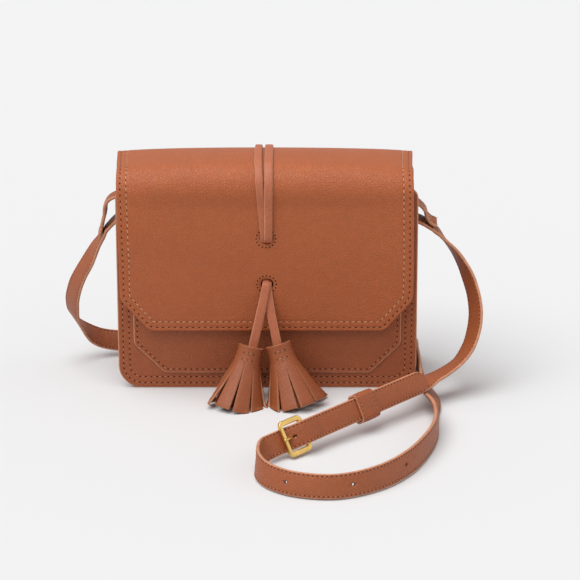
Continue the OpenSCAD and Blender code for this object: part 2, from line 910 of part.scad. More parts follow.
// The short strap: from the buckle's heel, under the tip, and up in the air to the right ring
short_route = [
    [stack_point(heel_end + clear, 0), stack_up],
    [stack_point(70, 0), stack_up],
    [stack_point(100, 0), stack_up],
    [stack_point(130, 0), stack_up],
    [[116.8, -61, 20.8], [-0.4, 0.5, 0.75]],
    [[127, -49, 22.5], [-0.4, 0.75, 0.5]],
    [[140, -37, 29.5], [-0.5, 0.8, 0.3]],
    [[146.5, -30.5, 39], [-0.6, 0.78, 0.2]],
    [[149.3, -25, 50], [-0.6, 0.8, 0.1]],
    [[149.3, -19, 62], [-0.5, 0.85, 0]],
    [[146.5, -13, 75.5], [-0.35, 0.9, 0]],
    [[140, -8, 89], [-0.2, 1, 0]],
    [[131, -2.5, 102.4], [-0.1, 1, 0]],
    [fold_end(1, 1, lead), [0, 1, 0]],
    [fold_end(1, 1), [0, 1, 0]]
];

// Smooth curve through the rows: value at parameter t between rows b and c
function smooth(a, b, c, d, t) =
    0.5 * (2 * b + (c - a) * t + (2 * a - 5 * b + 4 * c - d) * t * t
           + (3 * b - a - 3 * c + d) * t * t * t);

function along_route(rows, column, steps) =
    let (n = len(rows))
    [for (i = [0:n - 2], k = [0:steps - 1])
        smooth(rows[max(i - 1, 0)][column], rows[i][column], rows[i + 1][column],
               rows[min(i + 2, n - 1)][column], k / steps),
     rows[n - 1][column]];

// Eight corners of the strap's section, its edges slightly rounded
section = [for (i = [0:7]) let (sx = i < 2 || i > 5 ? 1 : -1, sy = i < 4 ? 1 : -1, soft = i % 4 == 0 || i % 4 == 3)
    [sx * (strap_w / 2 - (soft ? 0 : 0.8)), sy * (strap_t / 2 - (soft ? 0.8 : 0))]];

// A flat strap swept along a route as one closed solid
module swept(rows, steps) {
    middles = along_route(rows, 0, steps);
    widths = along_route(rows, 1, steps);
    n = len(middles);
    rings = [for (i = [0:n - 1]) let (
                 ahead = unit(middles[min(i + 1, n - 1)] - middles[max(i - 1, 0)]),
                 wide = unit(widths[i] - (widths[i] * ahead) * ahead),
                 thick = cross(ahead, wide)
             ) [for (p = section) middles[i] + p[0] * wide + p[1] * thick]];
    points = [for (ring = rings) each ring];
    walls = [for (i = [0:n - 2], k = [0:7]) let (m = (k + 1) % 8)
                each [[8 * i + k, 8 * i + 8 + m, 8 * i + m], [8 * i + k, 8 * i + 8 + k, 8 * i + 8 + m]]];
    ends = [[for (k = [0:7]) k], [for (k = [7:-1:0]) 8 * (n - 1) + k]];
    polyhedron(points, concat(walls, ends));
}

module strap_long() {
    color(tan_leather)
        swept(long_route, 2);
}

module strap_short() {
    color(tan_leather)
        swept(short_route, 2);
}

// ---- draw -----------------------------------------------------------------------------------

front_panel();
front_patch();
back_panel();
gusset();
base_board();
lining();
inner_pocket();
flap_tail();
flap();
flap_lining();
snap_socket();
snap_stud();
tab_left();
tab_right();
ring_left();
ring_right();
strap_fold_left();
strap_fold_right();
lace_tail_left();
lace_tail_right();
lace_left();
lace_right();
lace_drop_left();
lace_drop_right();
tassel_head_left();
tassel_head_right();
tassel_fringe_left();
tassel_fringe_right();
strap_long();
strap_tip();
strap_short();
strap_heel();
buckle_frame();
buckle_prong();
keeper();
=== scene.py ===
import math

import bmesh
import bpy
import numpy as np
from mathutils import Matrix, Vector


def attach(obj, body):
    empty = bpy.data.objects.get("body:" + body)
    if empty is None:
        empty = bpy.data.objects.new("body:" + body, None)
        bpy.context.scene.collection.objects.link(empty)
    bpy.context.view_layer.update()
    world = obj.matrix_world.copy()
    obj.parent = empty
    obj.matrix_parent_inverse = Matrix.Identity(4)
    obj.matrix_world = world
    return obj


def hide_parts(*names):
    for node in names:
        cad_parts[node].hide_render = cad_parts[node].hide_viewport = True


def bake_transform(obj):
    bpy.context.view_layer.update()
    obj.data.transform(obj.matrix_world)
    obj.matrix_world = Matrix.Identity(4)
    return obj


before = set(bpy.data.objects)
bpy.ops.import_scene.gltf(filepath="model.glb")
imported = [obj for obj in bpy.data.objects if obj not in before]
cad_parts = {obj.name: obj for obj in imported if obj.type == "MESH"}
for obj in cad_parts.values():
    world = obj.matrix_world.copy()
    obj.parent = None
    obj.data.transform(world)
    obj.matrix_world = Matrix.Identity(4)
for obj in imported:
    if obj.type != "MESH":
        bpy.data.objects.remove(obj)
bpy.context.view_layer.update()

# ---- Camera, floor and light ----------------------------------------------------------------
# A long lens a little above the bag, looking down at it, over a plain pale floor.
# A broad soft sun comes from the upper left and a weak one from the right, in an even studio.

camera = bpy.data.cameras.new("camera")
camera.lens, camera.sensor_width = 118.4, 36
camera.clip_end = 100
view_point = bpy.data.objects.new("camera", camera)
view_point.location = (0.0163, -1.3234, 0.4946)
view_point.rotation_euler = (math.radians(72), 0, 0)
bpy.context.scene.collection.objects.link(view_point)
bpy.context.scene.camera = view_point
bpy.context.scene.view_settings.view_transform = "Standard"


def basic_solid(kind, **settings):
    """A new plane, cube or cylinder."""
    bpy.ops.object.select_all(action="DESELECT")
    {"plane": bpy.ops.mesh.primitive_plane_add, "cube": bpy.ops.mesh.primitive_cube_add,
     "cylinder": bpy.ops.mesh.primitive_cylinder_add}[kind](**settings)
    return bpy.context.object


floor = basic_solid("plane", size=80, location=(0, 0, 0))
floor.name = "floor"
paper = bpy.data.materials.new("pale_floor")
paper.use_nodes = True
paper_sockets = paper.node_tree.nodes["Principled BSDF"].inputs
paper_sockets["Base Color"].default_value = (0.655, 0.655, 0.659, 1)
paper_sockets["Roughness"].default_value = 0.9
paper_sockets["Specular IOR Level"].default_value = 0.0
floor.data.materials.append(paper)

studio = bpy.data.worlds.new("studio")
studio.use_nodes = True
studio.node_tree.nodes["Background"].inputs["Color"].default_value = (1.0, 1.0, 1.0, 1)
studio.node_tree.nodes["Background"].inputs["Strength"].default_value = 0.45
bpy.context.scene.world = studio

for name, energy, spread, toward in (("softbox", 3.0, 60, (-0.34, -0.24, 1.0)),
                                     ("side_card", 0.32, 50, (0.92, -0.05, 0.40))):
    sun = bpy.data.lights.new(name, "SUN")
    sun.energy, sun.angle = energy, math.radians(spread)
    lamp = bpy.data.objects.new(name, sun)
    lamp.rotation_euler = Vector(toward).to_track_quat("Z", "Y").to_euler()
    bpy.context.scene.collection.objects.link(lamp)

# ---- Strap ----------------------------------------------------------------------------------
# Two layers of pebbled leather glued back to back, edge painted and sewn along both sides.
# The long half runs from the left ring to the rounded tip, the short half carries the buckle.


class Wire:
    """A socket of a shader, so that shader maths reads as plain expressions."""

    def __init__(self, finish, socket):
        self.finish, self.socket = finish, socket

    def maths(self, operation, *values):
        return self.finish.node("Math", {"operation": operation}, dict(enumerate(values)))

    def __add__(self, other):
        return self.maths("ADD", self, other)

    def __sub__(self, other):
        return self.maths("SUBTRACT", self, other)

    def __rsub__(self, other):
        return self.maths("SUBTRACT", other, self)

    def __mul__(self, other):
        return self.maths("MULTIPLY", self, other)

    __radd__, __rmul__ = __add__, __mul__

    def between(self, low, high):
        """0 at low and below, 1 at high and above, eased between them."""
        return self.finish.node("MapRange", {"interpolation_type": "SMOOTHSTEP"},
                                {"Value": self, "From Min": low, "From Max": high})


class Finish:
    """A material being made; node() adds one node, sets it up and then wires its sockets."""

    def __init__(self, name, **plain):
        self.material = bpy.data.materials.new(name)
        self.material.use_nodes = True
        self.nodes = self.material.node_tree.nodes
        self.shader = self.nodes["Principled BSDF"]
        for socket, value in plain.items():
            self.shader.inputs[socket.replace("_", " ")].default_value = value

    def plug(self, socket, value):
        if isinstance(value, Wire):
            self.material.node_tree.links.new(value.socket, socket)
        else:
            socket.default_value = value

    def node(self, kind, settings=(), sockets=(), output=0):
        node = self.nodes.new("ShaderNode" + kind)
        for key, value in dict(settings).items():
            setattr(node, key, value)
        for key, value in dict(sockets).items():
            self.plug(node.inputs[key], value)
        return Wire(self, node.outputs[output])

    def place(self, *scale):
        """The point on the piece, in units of 1 / scale metres, alike or different along X, Y and Z."""
        where = self.node("TexCoord", output="Object")
        return self.node("Mapping", {}, {"Vector": where, "Scale": scale * (3 // len(scale))})

    def noise(self, where, detail=3, roughness=0.5):
        return self.node("TexNoise", {}, {"Vector": where, "Scale": 1.0, "Detail": detail,
                                          "Roughness": roughness})

    def mix(self, share, a, b):
        return self.node("Mix", {"data_type": "RGBA"}, {0: share, 6: a, 7: b}, 2)

    def set(self, **sockets):
        for socket, value in sockets.items():
            self.plug(self.shader.inputs[socket.replace("_", " ")], value)
        return self.material

    def relief(self, height, distance):
        """The shader's normal from a height of 0 to 1 that stands for distance metres."""
        return self.node("Bump", {}, {"Strength": 1.0, "Distance": distance, "Height": height})


def tone(red, green, blue):
    """A paint colour given as on a screen, 0 to 255."""
    linear = (((c / 255 + 0.055) / 1.055) ** 2.4 if c > 10 else c / 3295 for c in (red, green, blue))
    return tuple(linear) + (1,)


def shade(colour, share):
    """The same colour made darker or lighter."""
    return tuple(min(1, c * share) for c in colour[:3]) + (1,)


def pebbled_leather(name, colour, deep, grain=1.0, gloss=0.46, shine=0.6):
    """Milled calf leather: rounded pebbles parted by fine creases darkened with painted shade, uneven dye
    and soft gloss.
    """
    finish = Finish(name, Roughness=gloss, IOR=1.45, Specular_IOR_Level=shine)
    skin = finish.place(1000)
    warp = finish.node("VectorMath", {"operation": "MULTIPLY_ADD"},
                       {0: finish.node("TexNoise", {}, {"Vector": skin, "Scale": 0.45, "Detail": 2.0}, 1),
                        1: (0.9, 0.9, 0.9), 2: skin})
    cells = finish.node("TexVoronoi", {"feature": "DISTANCE_TO_EDGE"}, {"Vector": warp, "Scale": 0.62})
    small = finish.node("TexVoronoi", {"feature": "DISTANCE_TO_EDGE"}, {"Vector": warp, "Scale": 1.5})
    pebble = cells.between(0.0, 0.3) * 0.75 + small.between(0.0, 0.4) * 0.25
    pores = finish.noise(finish.place(2600), 2)
    clouds = finish.noise(finish.place(45), 4, 0.6)
    folds = finish.noise(finish.place(160), 3)
    body = finish.mix(clouds.between(0.25, 0.75) * 0.4 + 0.3, deep, colour)
    # Painted shade: the creases between the pebbles are darkened.
    body = finish.mix((1 - pebble.between(0.0, 0.5)) * 0.34, body, shade(deep, 0.52))
    body = finish.mix(folds.between(0.42, 0.75) * 0.12, body, shade(colour, 1.35))
    height = pebble * 0.8 + pores * 0.12 + folds * 0.5
    return finish.set(Base_Color=body, Roughness=gloss - 0.06 + (1 - pebble) * 0.16 + (clouds - 0.5) * 0.1,
                      Normal=finish.relief(height, 0.00016 * grain))


def edge_paint(name, colour):
    """Burnished and painted cut edge: smooth, lighter than the skin, rubbed here and there."""
    finish = Finish(name, IOR=1.45)
    rub = finish.noise(finish.place(300), 4, 0.6)
    fibres = finish.noise(finish.place(2200), 2)
    return finish.set(Base_Color=finish.mix(rub.between(0.3, 0.75), shade(colour, 0.72), colour),
                      Roughness=0.42 + rub * 0.2, Normal=finish.relief(fibres + rub, 0.00008))


def spun_thread(name, colour):
    """Waxed polyester thread, whose twist shows as fine slanting ridges."""
    finish = Finish(name, Roughness=0.5, Sheen_Weight=0.2)
    ply = finish.node("TexWave", {"bands_direction": "DIAGONAL"},
                      {"Vector": finish.place(1000), "Scale": 1.4, "Distortion": 0.6})
    dirt = finish.noise(finish.place(220), 2)
    return finish.set(Base_Color=finish.mix(dirt.between(0.35, 0.7), shade(colour, 0.74), colour),
                      Normal=finish.relief(ply, 0.00008))


tan = pebbled_leather("tan_leather", tone(180, 92, 42), tone(171, 86, 38), 2.2, 0.40)
strap_skin = pebbled_leather("strap_leather", tone(162, 86, 43), tone(151, 77, 39), 1.2, 0.44)
tan_edge = edge_paint("edge_paint", tone(205, 142, 108))
pale_thread = spun_thread("pale_thread", tone(226, 176, 134))
tan_thread = spun_thread("tan_thread", tone(196, 126, 88))
# The needle holes are dark discs on the skin: painted shade inside each hole.
needle_hole_shade = Finish("needle_hole_shade", Roughness=0.9, Specular_IOR_Level=0.1).set(Base_Color=tone(78, 32, 16))


def new_piece(name, points, faces, materials):
    """A mesh piece from its points and faces; faces are grouped by the material they take."""
    mesh = bpy.data.meshes.new(name)
    mesh.from_pydata([tuple(p) for p in points], [], [f for group in faces for f in group])
    for material in materials:
        mesh.materials.append(material)
    slots = [i for i, group in enumerate(faces) for _ in group]
    mesh.polygons.foreach_set("material_index", slots)
    mesh.polygons.foreach_set("use_smooth", [True] * len(slots))
    mesh.update()
    piece = bpy.data.objects.new(name, mesh)
    bpy.context.scene.collection.objects.link(piece)
    return piece


def apply(piece, kind, **settings):
    """Adds a modifier to a piece and applies it."""
    modifier = piece.modifiers.new(kind.lower(), kind)
    for key, value in settings.items():
        setattr(modifier, key, value)
    bpy.ops.object.select_all(action="DESELECT")
    bpy.context.view_layer.objects.active = piece
    piece.select_set(True)
    bpy.ops.object.modifier_apply(modifier=modifier.name)
    return piece


def cut_away(piece, cutter, **settings):
    """Takes the shape of a cutter out of a piece."""
    apply(piece, "BOOLEAN", operation="DIFFERENCE", solver="EXACT", object=cutter, **settings)
    bpy.data.objects.remove(cutter)


def face_outward(piece):
    """Turns the faces of a closed piece outward."""
    bm = bmesh.new()
    bm.from_mesh(piece.data)
    bmesh.ops.recalc_face_normals(bm, faces=bm.faces)
    bm.to_mesh(piece.data)
    bm.free()
    return piece


def within(t):
    """t, kept between 0 and 1."""
    return min(max(t, 0), 1)


def unit(v):
    return v / np.maximum(np.linalg.norm(v, axis=-1, keepdims=True), 1e-12)


def run_along(line):
    """How far along a line each of its points lies."""
    return np.concatenate([[0], np.cumsum(np.linalg.norm(np.diff(line, axis=0), axis=1))])


def at_run(line, run, s):
    """The point at s metres along a line."""
    return np.array([np.interp(s, run, line[:, j]) for j in range(3)])


def ring_quad(i, k, count):
    """The face between rings i and i + 1 of count points each, after their point k."""
    beside = (k + 1) % count
    return (i * count + k, i * count + beside, (i + 1) * count + beside, (i + 1) * count + k)


def smooth_route(rows, steps):
    """A smooth curve through the rows of a route: places, and the ways the width points there."""
    rows = np.array(rows, float)
    padded = np.concatenate([rows[:1], rows, rows[-1:]])
    t = np.arange(steps)[:, None, None] / steps
    out = []
    for i in range(len(rows) - 1):
        a, b, c, d = padded[i:i + 4]
        out.append(0.5 * (2 * b + (c - a) * t + (2 * a - 5 * b + 4 * c - d) * t * t
                          + (3 * b - a - 3 * c + d) * t ** 3))
    flat = np.concatenate(out + [rows[-1:]])
    return flat[:, 0], flat[:, 1]


def strap_frames(middles, widths):
    """Travel, width and face directions along a route, square to each other."""
    ahead = unit(np.gradient(middles, axis=0))
    wide = unit(widths - (widths * ahead).sum(1, keepdims=True) * ahead)
    return ahead, wide, np.cross(ahead, wide)


# Half of the strap's section, from the middle of a face to its edge: the sewn line is pressed in
section_half = [(0, 1.36), (2.2, 1.35), (4.2, 1.3), (5.5, 1.2), (6.2, 1.05), (6.5, 1.03), (6.9, 1.12),
                (7.35, 1.1),
                (7.7, 0.86), (7.95, 0.45), (8.0, 0)]
section_edge = 7.5
strap_wide, strap_thick = 16, 2.6
sewn_line, sewn_height, edge_to_seam = 0.0064, 0.0026 / 2 - 0.0002, 0.008 - 0.0064


def strap_section(width, thick):
    """The closed outline of a strap's section, and which of its stretches are painted edge."""
    quarter = [(a * width / strap_wide, b * thick / strap_thick) for a, b in section_half]
    upper = [(-a, b) for a, b in quarter[::-1]] + quarter[1:]
    loop = upper + [(-a, -b) for a, b in upper[1:-1]]
    n = len(loop)
    painted = section_edge * width / strap_wide - 0.2
    edge = [min(abs(loop[i][0]), abs(loop[(i + 1) % n][0])) >= painted for i in range(n)]
    return np.array(loop) / 1000, edge


def strap_piece(name, middles, widths, width=strap_wide, thick=strap_thick, ends=(0, 0), skin=strap_skin):
    """Lofts a strap along a route. ends are the radii of its corners at the start and the end."""
    ahead, wide, face = strap_frames(middles, widths)
    loop, edge = strap_section(width, thick)
    run = run_along(middles)
    across, deep = np.ones(len(run)), np.ones(len(run))
    for radius, gap in ((ends[0], run), (ends[1], run[-1] - run)):
        if radius:
            near = np.clip(1 - gap / radius, 0, 1)
            across = np.minimum(across, 1 - (radius * (1 - np.sqrt(1 - near ** 2))) / (width / 2000))
            deep = np.minimum(deep, np.sqrt(np.clip(1 - np.clip(1 - gap / 0.0012, 0, 1) ** 2, 0.05, 1)))
    rings = (middles[:, None] + loop[None, :, :1] * across[:, None, None] * wide[:, None]
             + loop[None, :, 1:] * deep[:, None, None] * face[:, None])
    m, n = len(loop), len(middles)
    skin_faces, edge_faces = [], [tuple(range(m))[::-1], tuple(range((n - 1) * m, n * m))]
    for i in range(n - 1):
        for k in range(m):
            (edge_faces if edge[k] else skin_faces).append(ring_quad(i, k, m)[::-1])
    piece = new_piece(name, rings.reshape(-1, 3), (skin_faces, edge_faces), (skin, tan_edge))
    return face_outward(piece)


def bead():
    """A small closed ball of radius 1, the start of every stitch."""
    bm = bmesh.new()
    bmesh.ops.create_uvsphere(bm, u_segments=6, v_segments=5, radius=1)
    points = np.array([v.co for v in bm.verts])
    faces = [[v.index for v in f.verts] for f in bm.faces]
    bm.free()
    return points, faces


def seam(name, rows, pitch, stitch, hole=0.0011, thick=0.00062, slant=0.16, thread=tan_thread):
    """Sews rows of stitches: each row is its points and the directions away from the leather."""
    ball, ball_faces = bead()
    disc = np.array([(math.cos(a), math.sin(a), 0) for a in np.linspace(0, 2 * math.pi, 9)[:-1]])
    points, threads, holes, count = [], [], [], 0
    for line, out in rows:
        line, out = np.array(line), np.array(out)
        run = run_along(line)
        number = max(2, round(run[-1] / pitch))
        step = run[-1] / number
        for k in range(number + 1):
            for kind, s in (("thread", (k + 0.5) * step), ("hole", k * step)):
                if s > run[-1]:
                    continue
                at = at_run(line, run, s)
                up = unit(at_run(out, run, s))
                near = [at_run(line, run, q)
                        for q in (max(s - step / 2, 0), min(s + step / 2, run[-1]))]
                along = unit(near[1] - near[0])
                along = unit(along - (along @ up) * up)
                side = np.cross(up, along)
                if kind == "thread":
                    way = along * math.cos(slant) + side * math.sin(slant)
                    turned = np.stack([way * stitch / 2, np.cross(up, way) * thick / 2, up * thick * 0.42])
                    points.append(ball @ turned + at)
                    threads += [[count + v for v in f] for f in ball_faces]
                    count += len(ball)
                else:
                    # A flat dark disc of painted shade marks each needle hole.
                    turned = np.stack([along * hole / 2, side * hole * 0.4, up])
                    points.append(disc @ turned + at + up * 0.00004)
                    holes.append([count + v for v in range(len(disc))])
                    count += len(disc)
    return new_piece(name, np.concatenate(points), (threads, holes), (thread, needle_hole_shade))


def strap_seams(name, middles, widths, turn=0.0):
    """The two rows sewn along a strap, which show on both faces; turn rounds them at the tip."""
    ahead, wide, face = strap_frames(middles, widths)
    run = run_along(middles)
    rows = []
    for side in (1, -1):
        up = face * side
        surface = middles + up * sewn_height
        if turn:
            reach = turn - edge_to_seam
            far = run[-1] - edge_to_seam
            keep = run < far - reach
            centre_line = at_run(surface, run, far - reach)
            way, across, lift = ahead[-1], wide[-1], up[-1]
            inner = sewn_line - reach
            arc = [centre_line + across * (inner + reach * math.cos(a)) + way * reach * math.sin(a)
                   for a in np.linspace(0, math.pi / 2, 9)]
            back = [centre_line - across * (inner + reach * math.cos(a)) + way * reach * math.sin(a)
                    for a in np.linspace(math.pi / 2, 0, 9)]
            line = np.concatenate([surface[keep] + wide[keep] * sewn_line, arc, back,
                                   (surface[keep] - wide[keep] * sewn_line)[::-1]])
            out = np.concatenate([up[keep], [lift] * 18, up[keep][::-1]])
            rows.append((line, out))
        else:
            for edge in (1, -1):
                rows.append((surface + wide * sewn_line * edge, up))
    return seam(name, rows, pitch=0.0030, stitch=0.0019, thick=0.0005, hole=0.0010)


# The straight stack behind the buckle: along it, back from its face, and up its width
stack_place = np.array([0.0128, -0.160, 0.0124])
stack_turn = (Matrix.Rotation(math.radians(43.2), 3, "Z") @ Matrix.Rotation(math.radians(-3.3), 3, "Y")
              @ Matrix.Rotation(math.radians(-30), 3, "X"))
stack_along, stack_back, stack_up = (np.array(stack_turn @ Vector(axis)) for axis in
                                     ((1, 0, 0), (0, 1, 0), (0, 0, 1)))
heel_bar = 0.0175
under_bar, over_heel, tip_back = 0.0031, -0.0049, -0.0032


def stack_point(along, back=0.0, up=0.0):
    return stack_place + along * stack_along + back * stack_back + up * stack_up


def ease(t):
    return (1 - math.cos(math.pi * within(t))) / 2


def tip_course(s):
    """How far back the tip lies: under the front bar, then over the heel bar."""
    return (under_bar + (over_heel - under_bar) * ease(s / (heel_bar - 0.001))
            + (tip_back - over_heel) * ease((s - heel_bar - 0.001) / 0.012))


left_start = (-0.1172, 0, 0.1096)
long_route = [
    [(-0.1158, 0, 0.1122), (0, 1, 0.13)], [left_start, (-0.05, 1, 0.13)],
              [(-0.1188, 0, 0.1066), (-0.12, 1, 0.1)],
    [(-0.1215, 0.0002, 0.1025), (-0.25, 0.95, 0)], [(-0.1246, 0.0005, 0.0975), (-0.39, 0.91, -0.06)],
    [(-0.1303, 0.002, 0.0866), (-0.53, 0.83, 0)], [(-0.1359, 0.0045, 0.0766), (-0.56, 0.83, 0)],
    [(-0.1407, 0.008, 0.0662), (-0.60, 0.79, -0.02)], [(-0.1436, 0.012, 0.0562), (-0.58, 0.79, -0.06)],
    [(-0.1448, 0.0165, 0.0476), (-0.56, 0.80, -0.04)], [(-0.1445, 0.022, 0.038), (-0.52, 0.83, 0.2)],
    [(-0.1395, 0.028, 0.0272), (-0.4, 0.95, 0.5)], [(-0.1315, 0.035, 0.0176), (-0.1, 1.05, 1)],
    [(-0.120, 0.040, 0.0122), (0, 0.75, 1)], [(-0.099, 0.042, 0.0101), (0, 0.45, 1)],
              [(-0.060, 0.042, 0.009), (0, 0.1, 1)],
    [(0, 0.043, 0.0088), (0, 0, 1)], [(0.060, 0.042, 0.0088), (0, 0, 1)],
              [(0.092, 0.041, 0.0088), (0, 0, 1)],
    [(0.106, 0.0375, 0.0088), (0, 0, 1)], [(0.111, 0.030, 0.0088), (0, 0, 1)],
              [(0.111, 0.015, 0.0088), (0, 0, 1)],
    [(0.111, -0.005, 0.0088), (0, 0, 1)], [(0.112, -0.024, 0.0086), (-0.2, 0, 1)],
    [(0.1145, -0.042, 0.0076), (-0.7, 0, 1)], [(0.1162, -0.060, 0.0063), (-1.2, -0.1, 1)],
    [(0.1162, -0.071, 0.0066), (-1.1, -0.1, 1)], [(0.1163, -0.085, 0.008), (-0.5, -0.1, 1)],
    [(0.1165, -0.105, 0.0088), (-0.15, 0, 1)], [(0.1145, -0.130, 0.0088), (-0.1, 0, 1)],
    [(0.107, -0.157, 0.0088), (-0.15, 0.05, 1)], [(0.093, -0.187, 0.0087), (-0.2, 0.2, 1)],
    [(0.073, -0.211, 0.0085), (-0.15, 0.25, 1)], [(0.047, -0.225, 0.0085), (0, 0.28, 1)],
    [(0.021, -0.222, 0.0085), (0.1, 0.28, 1)], [(0.003, -0.209, 0.0086), (0.2, 0.2, 1)],
    [(-0.0045, -0.192, 0.009), (0.15, 0.1, 1)], [(-0.0025, -0.1765, 0.0098), (-0.2, 0.2, 1)],
    [stack_point(-0.0135, under_bar), stack_up],
]
tip_end, tip_round = 0.1328, 0.0076
tip_rows = [[stack_point(s, tip_course(s)), stack_up] for s in np.arange(-0.0095, 0.036, 0.0015)]
tip_rows += [[stack_point(s, tip_back), stack_up] for s in np.linspace(0.04, tip_end - 0.008, 10)]
tip_rows += [[stack_point(s, tip_back), stack_up] for s in np.linspace(tip_end - 0.0072, tip_end, 10)]
long_middles, long_widths = smooth_route(long_route, 6)
tip_places, tip_ways = (np.array([row[i] for row in tip_rows]) for i in (0, 1))
long_middles = np.concatenate([long_middles, tip_places])
long_widths = np.concatenate([long_widths, tip_ways])

right_start = (0.1209, 0, 0.1111)
short_route = [
    [stack_point(0.0423), stack_up], [stack_point(0.070), stack_up], [stack_point(0.098), stack_up],
    [stack_point(0.112), stack_up], [stack_point(0.1215), stack_up + 0.01 * stack_back],
    [stack_point(0.1295, 0.0026, -0.0004), stack_up + 0.42 * stack_back],
    [(0.1150, -0.0588, 0.0173), (-0.20, 0.99, 0.02)], [(0.1246, -0.0511, 0.0191), (-0.17, 0.98, -0.03)],
    [(0.1364, -0.0434, 0.0249), (-0.22, 0.97, -0.10)], [(0.1441, -0.0359, 0.0333), (-0.36, 0.93, -0.06)],
    [(0.1483, -0.0294, 0.0436), (-0.49, 0.83, -0.22)], [(0.1499, -0.0240, 0.0539), (-0.48, 0.82, -0.24)],
    [(0.1494, -0.0192, 0.0622), (-0.47, 0.81, -0.30)], [(0.1477, -0.0156, 0.0701), (-0.44, 0.81, -0.34)],
    [(0.1447, -0.0117, 0.0787), (-0.40, 0.80, -0.40)], [(0.1405, -0.0084, 0.0874), (-0.26, 0.85, -0.40)],
    [(0.1352, -0.0052, 0.0956), (-0.16, 0.9, -0.30)], [(0.1280, -0.0022, 0.1035), (-0.08, 0.95, -0.10)],
    [(0.1230, 0, 0.1091), (0, 1, 0.08)], [right_start, (0, 1, 0.1)], [(0.1184, 0, 0.1133), (0, 1, 0.1)],
]
short_middles, short_widths = smooth_route(short_route, 6)

strap_long = strap_piece("strap_long_leather", long_middles, long_widths, ends=(0, tip_round))
strap_short = strap_piece("strap_short_leather", short_middles, short_widths)

# Punched holes for the prong, one in use and three spare, a finger's width and more apart
long_run = run_along(long_middles)
long_ahead, long_wide, long_face = strap_frames(long_middles, long_widths)
prong_hole = long_run[-1] - (tip_end - 0.0064)
punch_holes = [prong_hole] + [prong_hole - 0.0804 - 0.0465 * k for k in (0, 1, 2)]
for at in punch_holes:
    i = int(np.argmin(abs(long_run - at)))
    punch = basic_solid("cylinder", vertices=20, radius=0.0011, depth=0.02)
    punch.data.transform(Matrix.Diagonal((1.4 if at == prong_hole else 1.1, 1, 1, 1)))
    punch.matrix_world = (Matrix.Translation(long_middles[i])
                          @ Matrix([long_ahead[i], -long_wide[i], long_face[i]]).transposed().to_4x4())
    cut_away(strap_long, punch)

seams_long = strap_seams("strap_long_stitches", long_middles, long_widths, turn=tip_round)
seams_short = strap_seams("strap_short_stitches", short_middles, short_widths)
for piece, ring, height in ((strap_long, "ring_left", 0.1094), (seams_long, "ring_left", 0.1094),
                            (strap_short, "ring_right", 0.1109), (seams_short, "ring_right", 0.1109)):
    height - 0.05
    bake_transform(piece)
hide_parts("strap_long", "strap_tip")
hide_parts("strap_short")

# ---- Front and back panels ------------------------------------------------------------------
# Flat cuts of the same leather on a stiff backing, with painted edges; their leather is a darker copy of
# the flap's, as painted shade for the lower body below the flap.
# Each is sewn to the gusset's flange by two rows, which press shallow valleys into the skin.


def rounded_outline(corners, radii, inset=0.0, steps=8):
    """A closed outline with rounded corners, drawn in by inset all round."""
    points, n = [], len(corners)
    corners = [np.array(c, float) for c in corners]
    turned = np.sign(sum(p[0] * q[1] - p[1] * q[0] for p, q in zip(corners, corners[1:] + corners[:1])))
    for i in range(n):
        a, b, c = corners[i - 1], corners[i], corners[(i + 1) % n]
        u, v = unit(a - b), unit(c - b)
        outward = 1 if (v[0] * u[1] - v[1] * u[0]) * turned > 0 else -1
        half = math.acos(np.clip(u @ v, -1, 1)) / 2
        b = b + outward * unit(u + v) * inset / math.sin(half)
        radius = max(radii[i] - inset * outward, 0.0004)
        reach, centre = radius / math.tan(half), b + unit(u + v) * radius / math.sin(half)
        start, stop = b + u * reach - centre, b + v * reach - centre
        turn = math.atan2(start[0] * stop[1] - start[1] * stop[0], start @ stop)
        for k in range(steps + 1):
            t = turn * k / steps
            points.append(centre + np.array([start[0] * math.cos(t) - start[1] * math.sin(t),
                                             start[0] * math.sin(t) + start[1] * math.cos(t)]))
    return np.array(points)


def dense(line, gap=0.001):
    """The same line with points no further apart than gap."""
    line = np.array(line)
    out = [line[0]]
    for a, b in zip(line[:-1], line[1:]):
        count = max(1, math.ceil(np.linalg.norm(b - a) / gap))
        out += [a + (b - a) * k / count for k in range(1, count + 1)]
    return np.array(out)


# Painted shade: the body's leather is the flap's leather made darker, for the lower body that lies below
# and under the flap.
shaded_body_tan = pebbled_leather("shaded_body_leather", tone(165, 84, 39), tone(155, 77, 35), 2.2, 0.40)


def cut_panel(name, corners, radii, near, thick, rings, skin=shaded_body_tan, edge=tan_edge, facing=-1):
    """Cuts an upright panel with a rounded rim. rings are (inset from the cut, height off its face)."""
    profile = [(0.0004, -thick), (0, 0.0004 - thick), (0, -0.0008), (0.00012, -0.0004), (0.0004, -0.00012),
               (0.0008, 0)]
    walls = len(profile) - 1
    points = []
    for inset, height in profile + rings:
        flat = rounded_outline(corners, radii, inset)
        points += [(x, near + height * facing, z) for x, z in flat]
    count, total = len(flat), len(profile) + len(rings)
    skin_faces, edge_faces = [tuple(range((total - 1) * count, total * count))], [tuple(range(count))[::-1]]
    for i in range(total - 1):
        for k in range(count):
            (edge_faces if i < walls else skin_faces).append(ring_quad(i, k, count))
    piece = new_piece(name, points, (skin_faces, edge_faces), (skin, edge))
    return face_outward(piece)


def wall_rows(corners, radii, insets, y, facing, drop=0):
    """Rows of a seam that run round an upright panel, as points and directions for seam()."""
    rows = []
    for inset in insets:
        flat = rounded_outline(corners, radii, inset)
        flat = dense(flat[drop:len(flat) - drop] if drop else flat)
        rows.append((np.column_stack([flat[:, 0], np.full(len(flat), y), flat[:, 1]]),
                     np.tile([0, facing, 0], (len(flat), 1))))
    return rows


body_half, front_y, back_y = 0.1075, -0.030, 0.030
front_top, back_top, corner_round = 0.149, 0.154, 0.017


def wall_corners(half, top, low=0.0):
    return [(half, top), (half, low), (-half, low), (-half, top)]


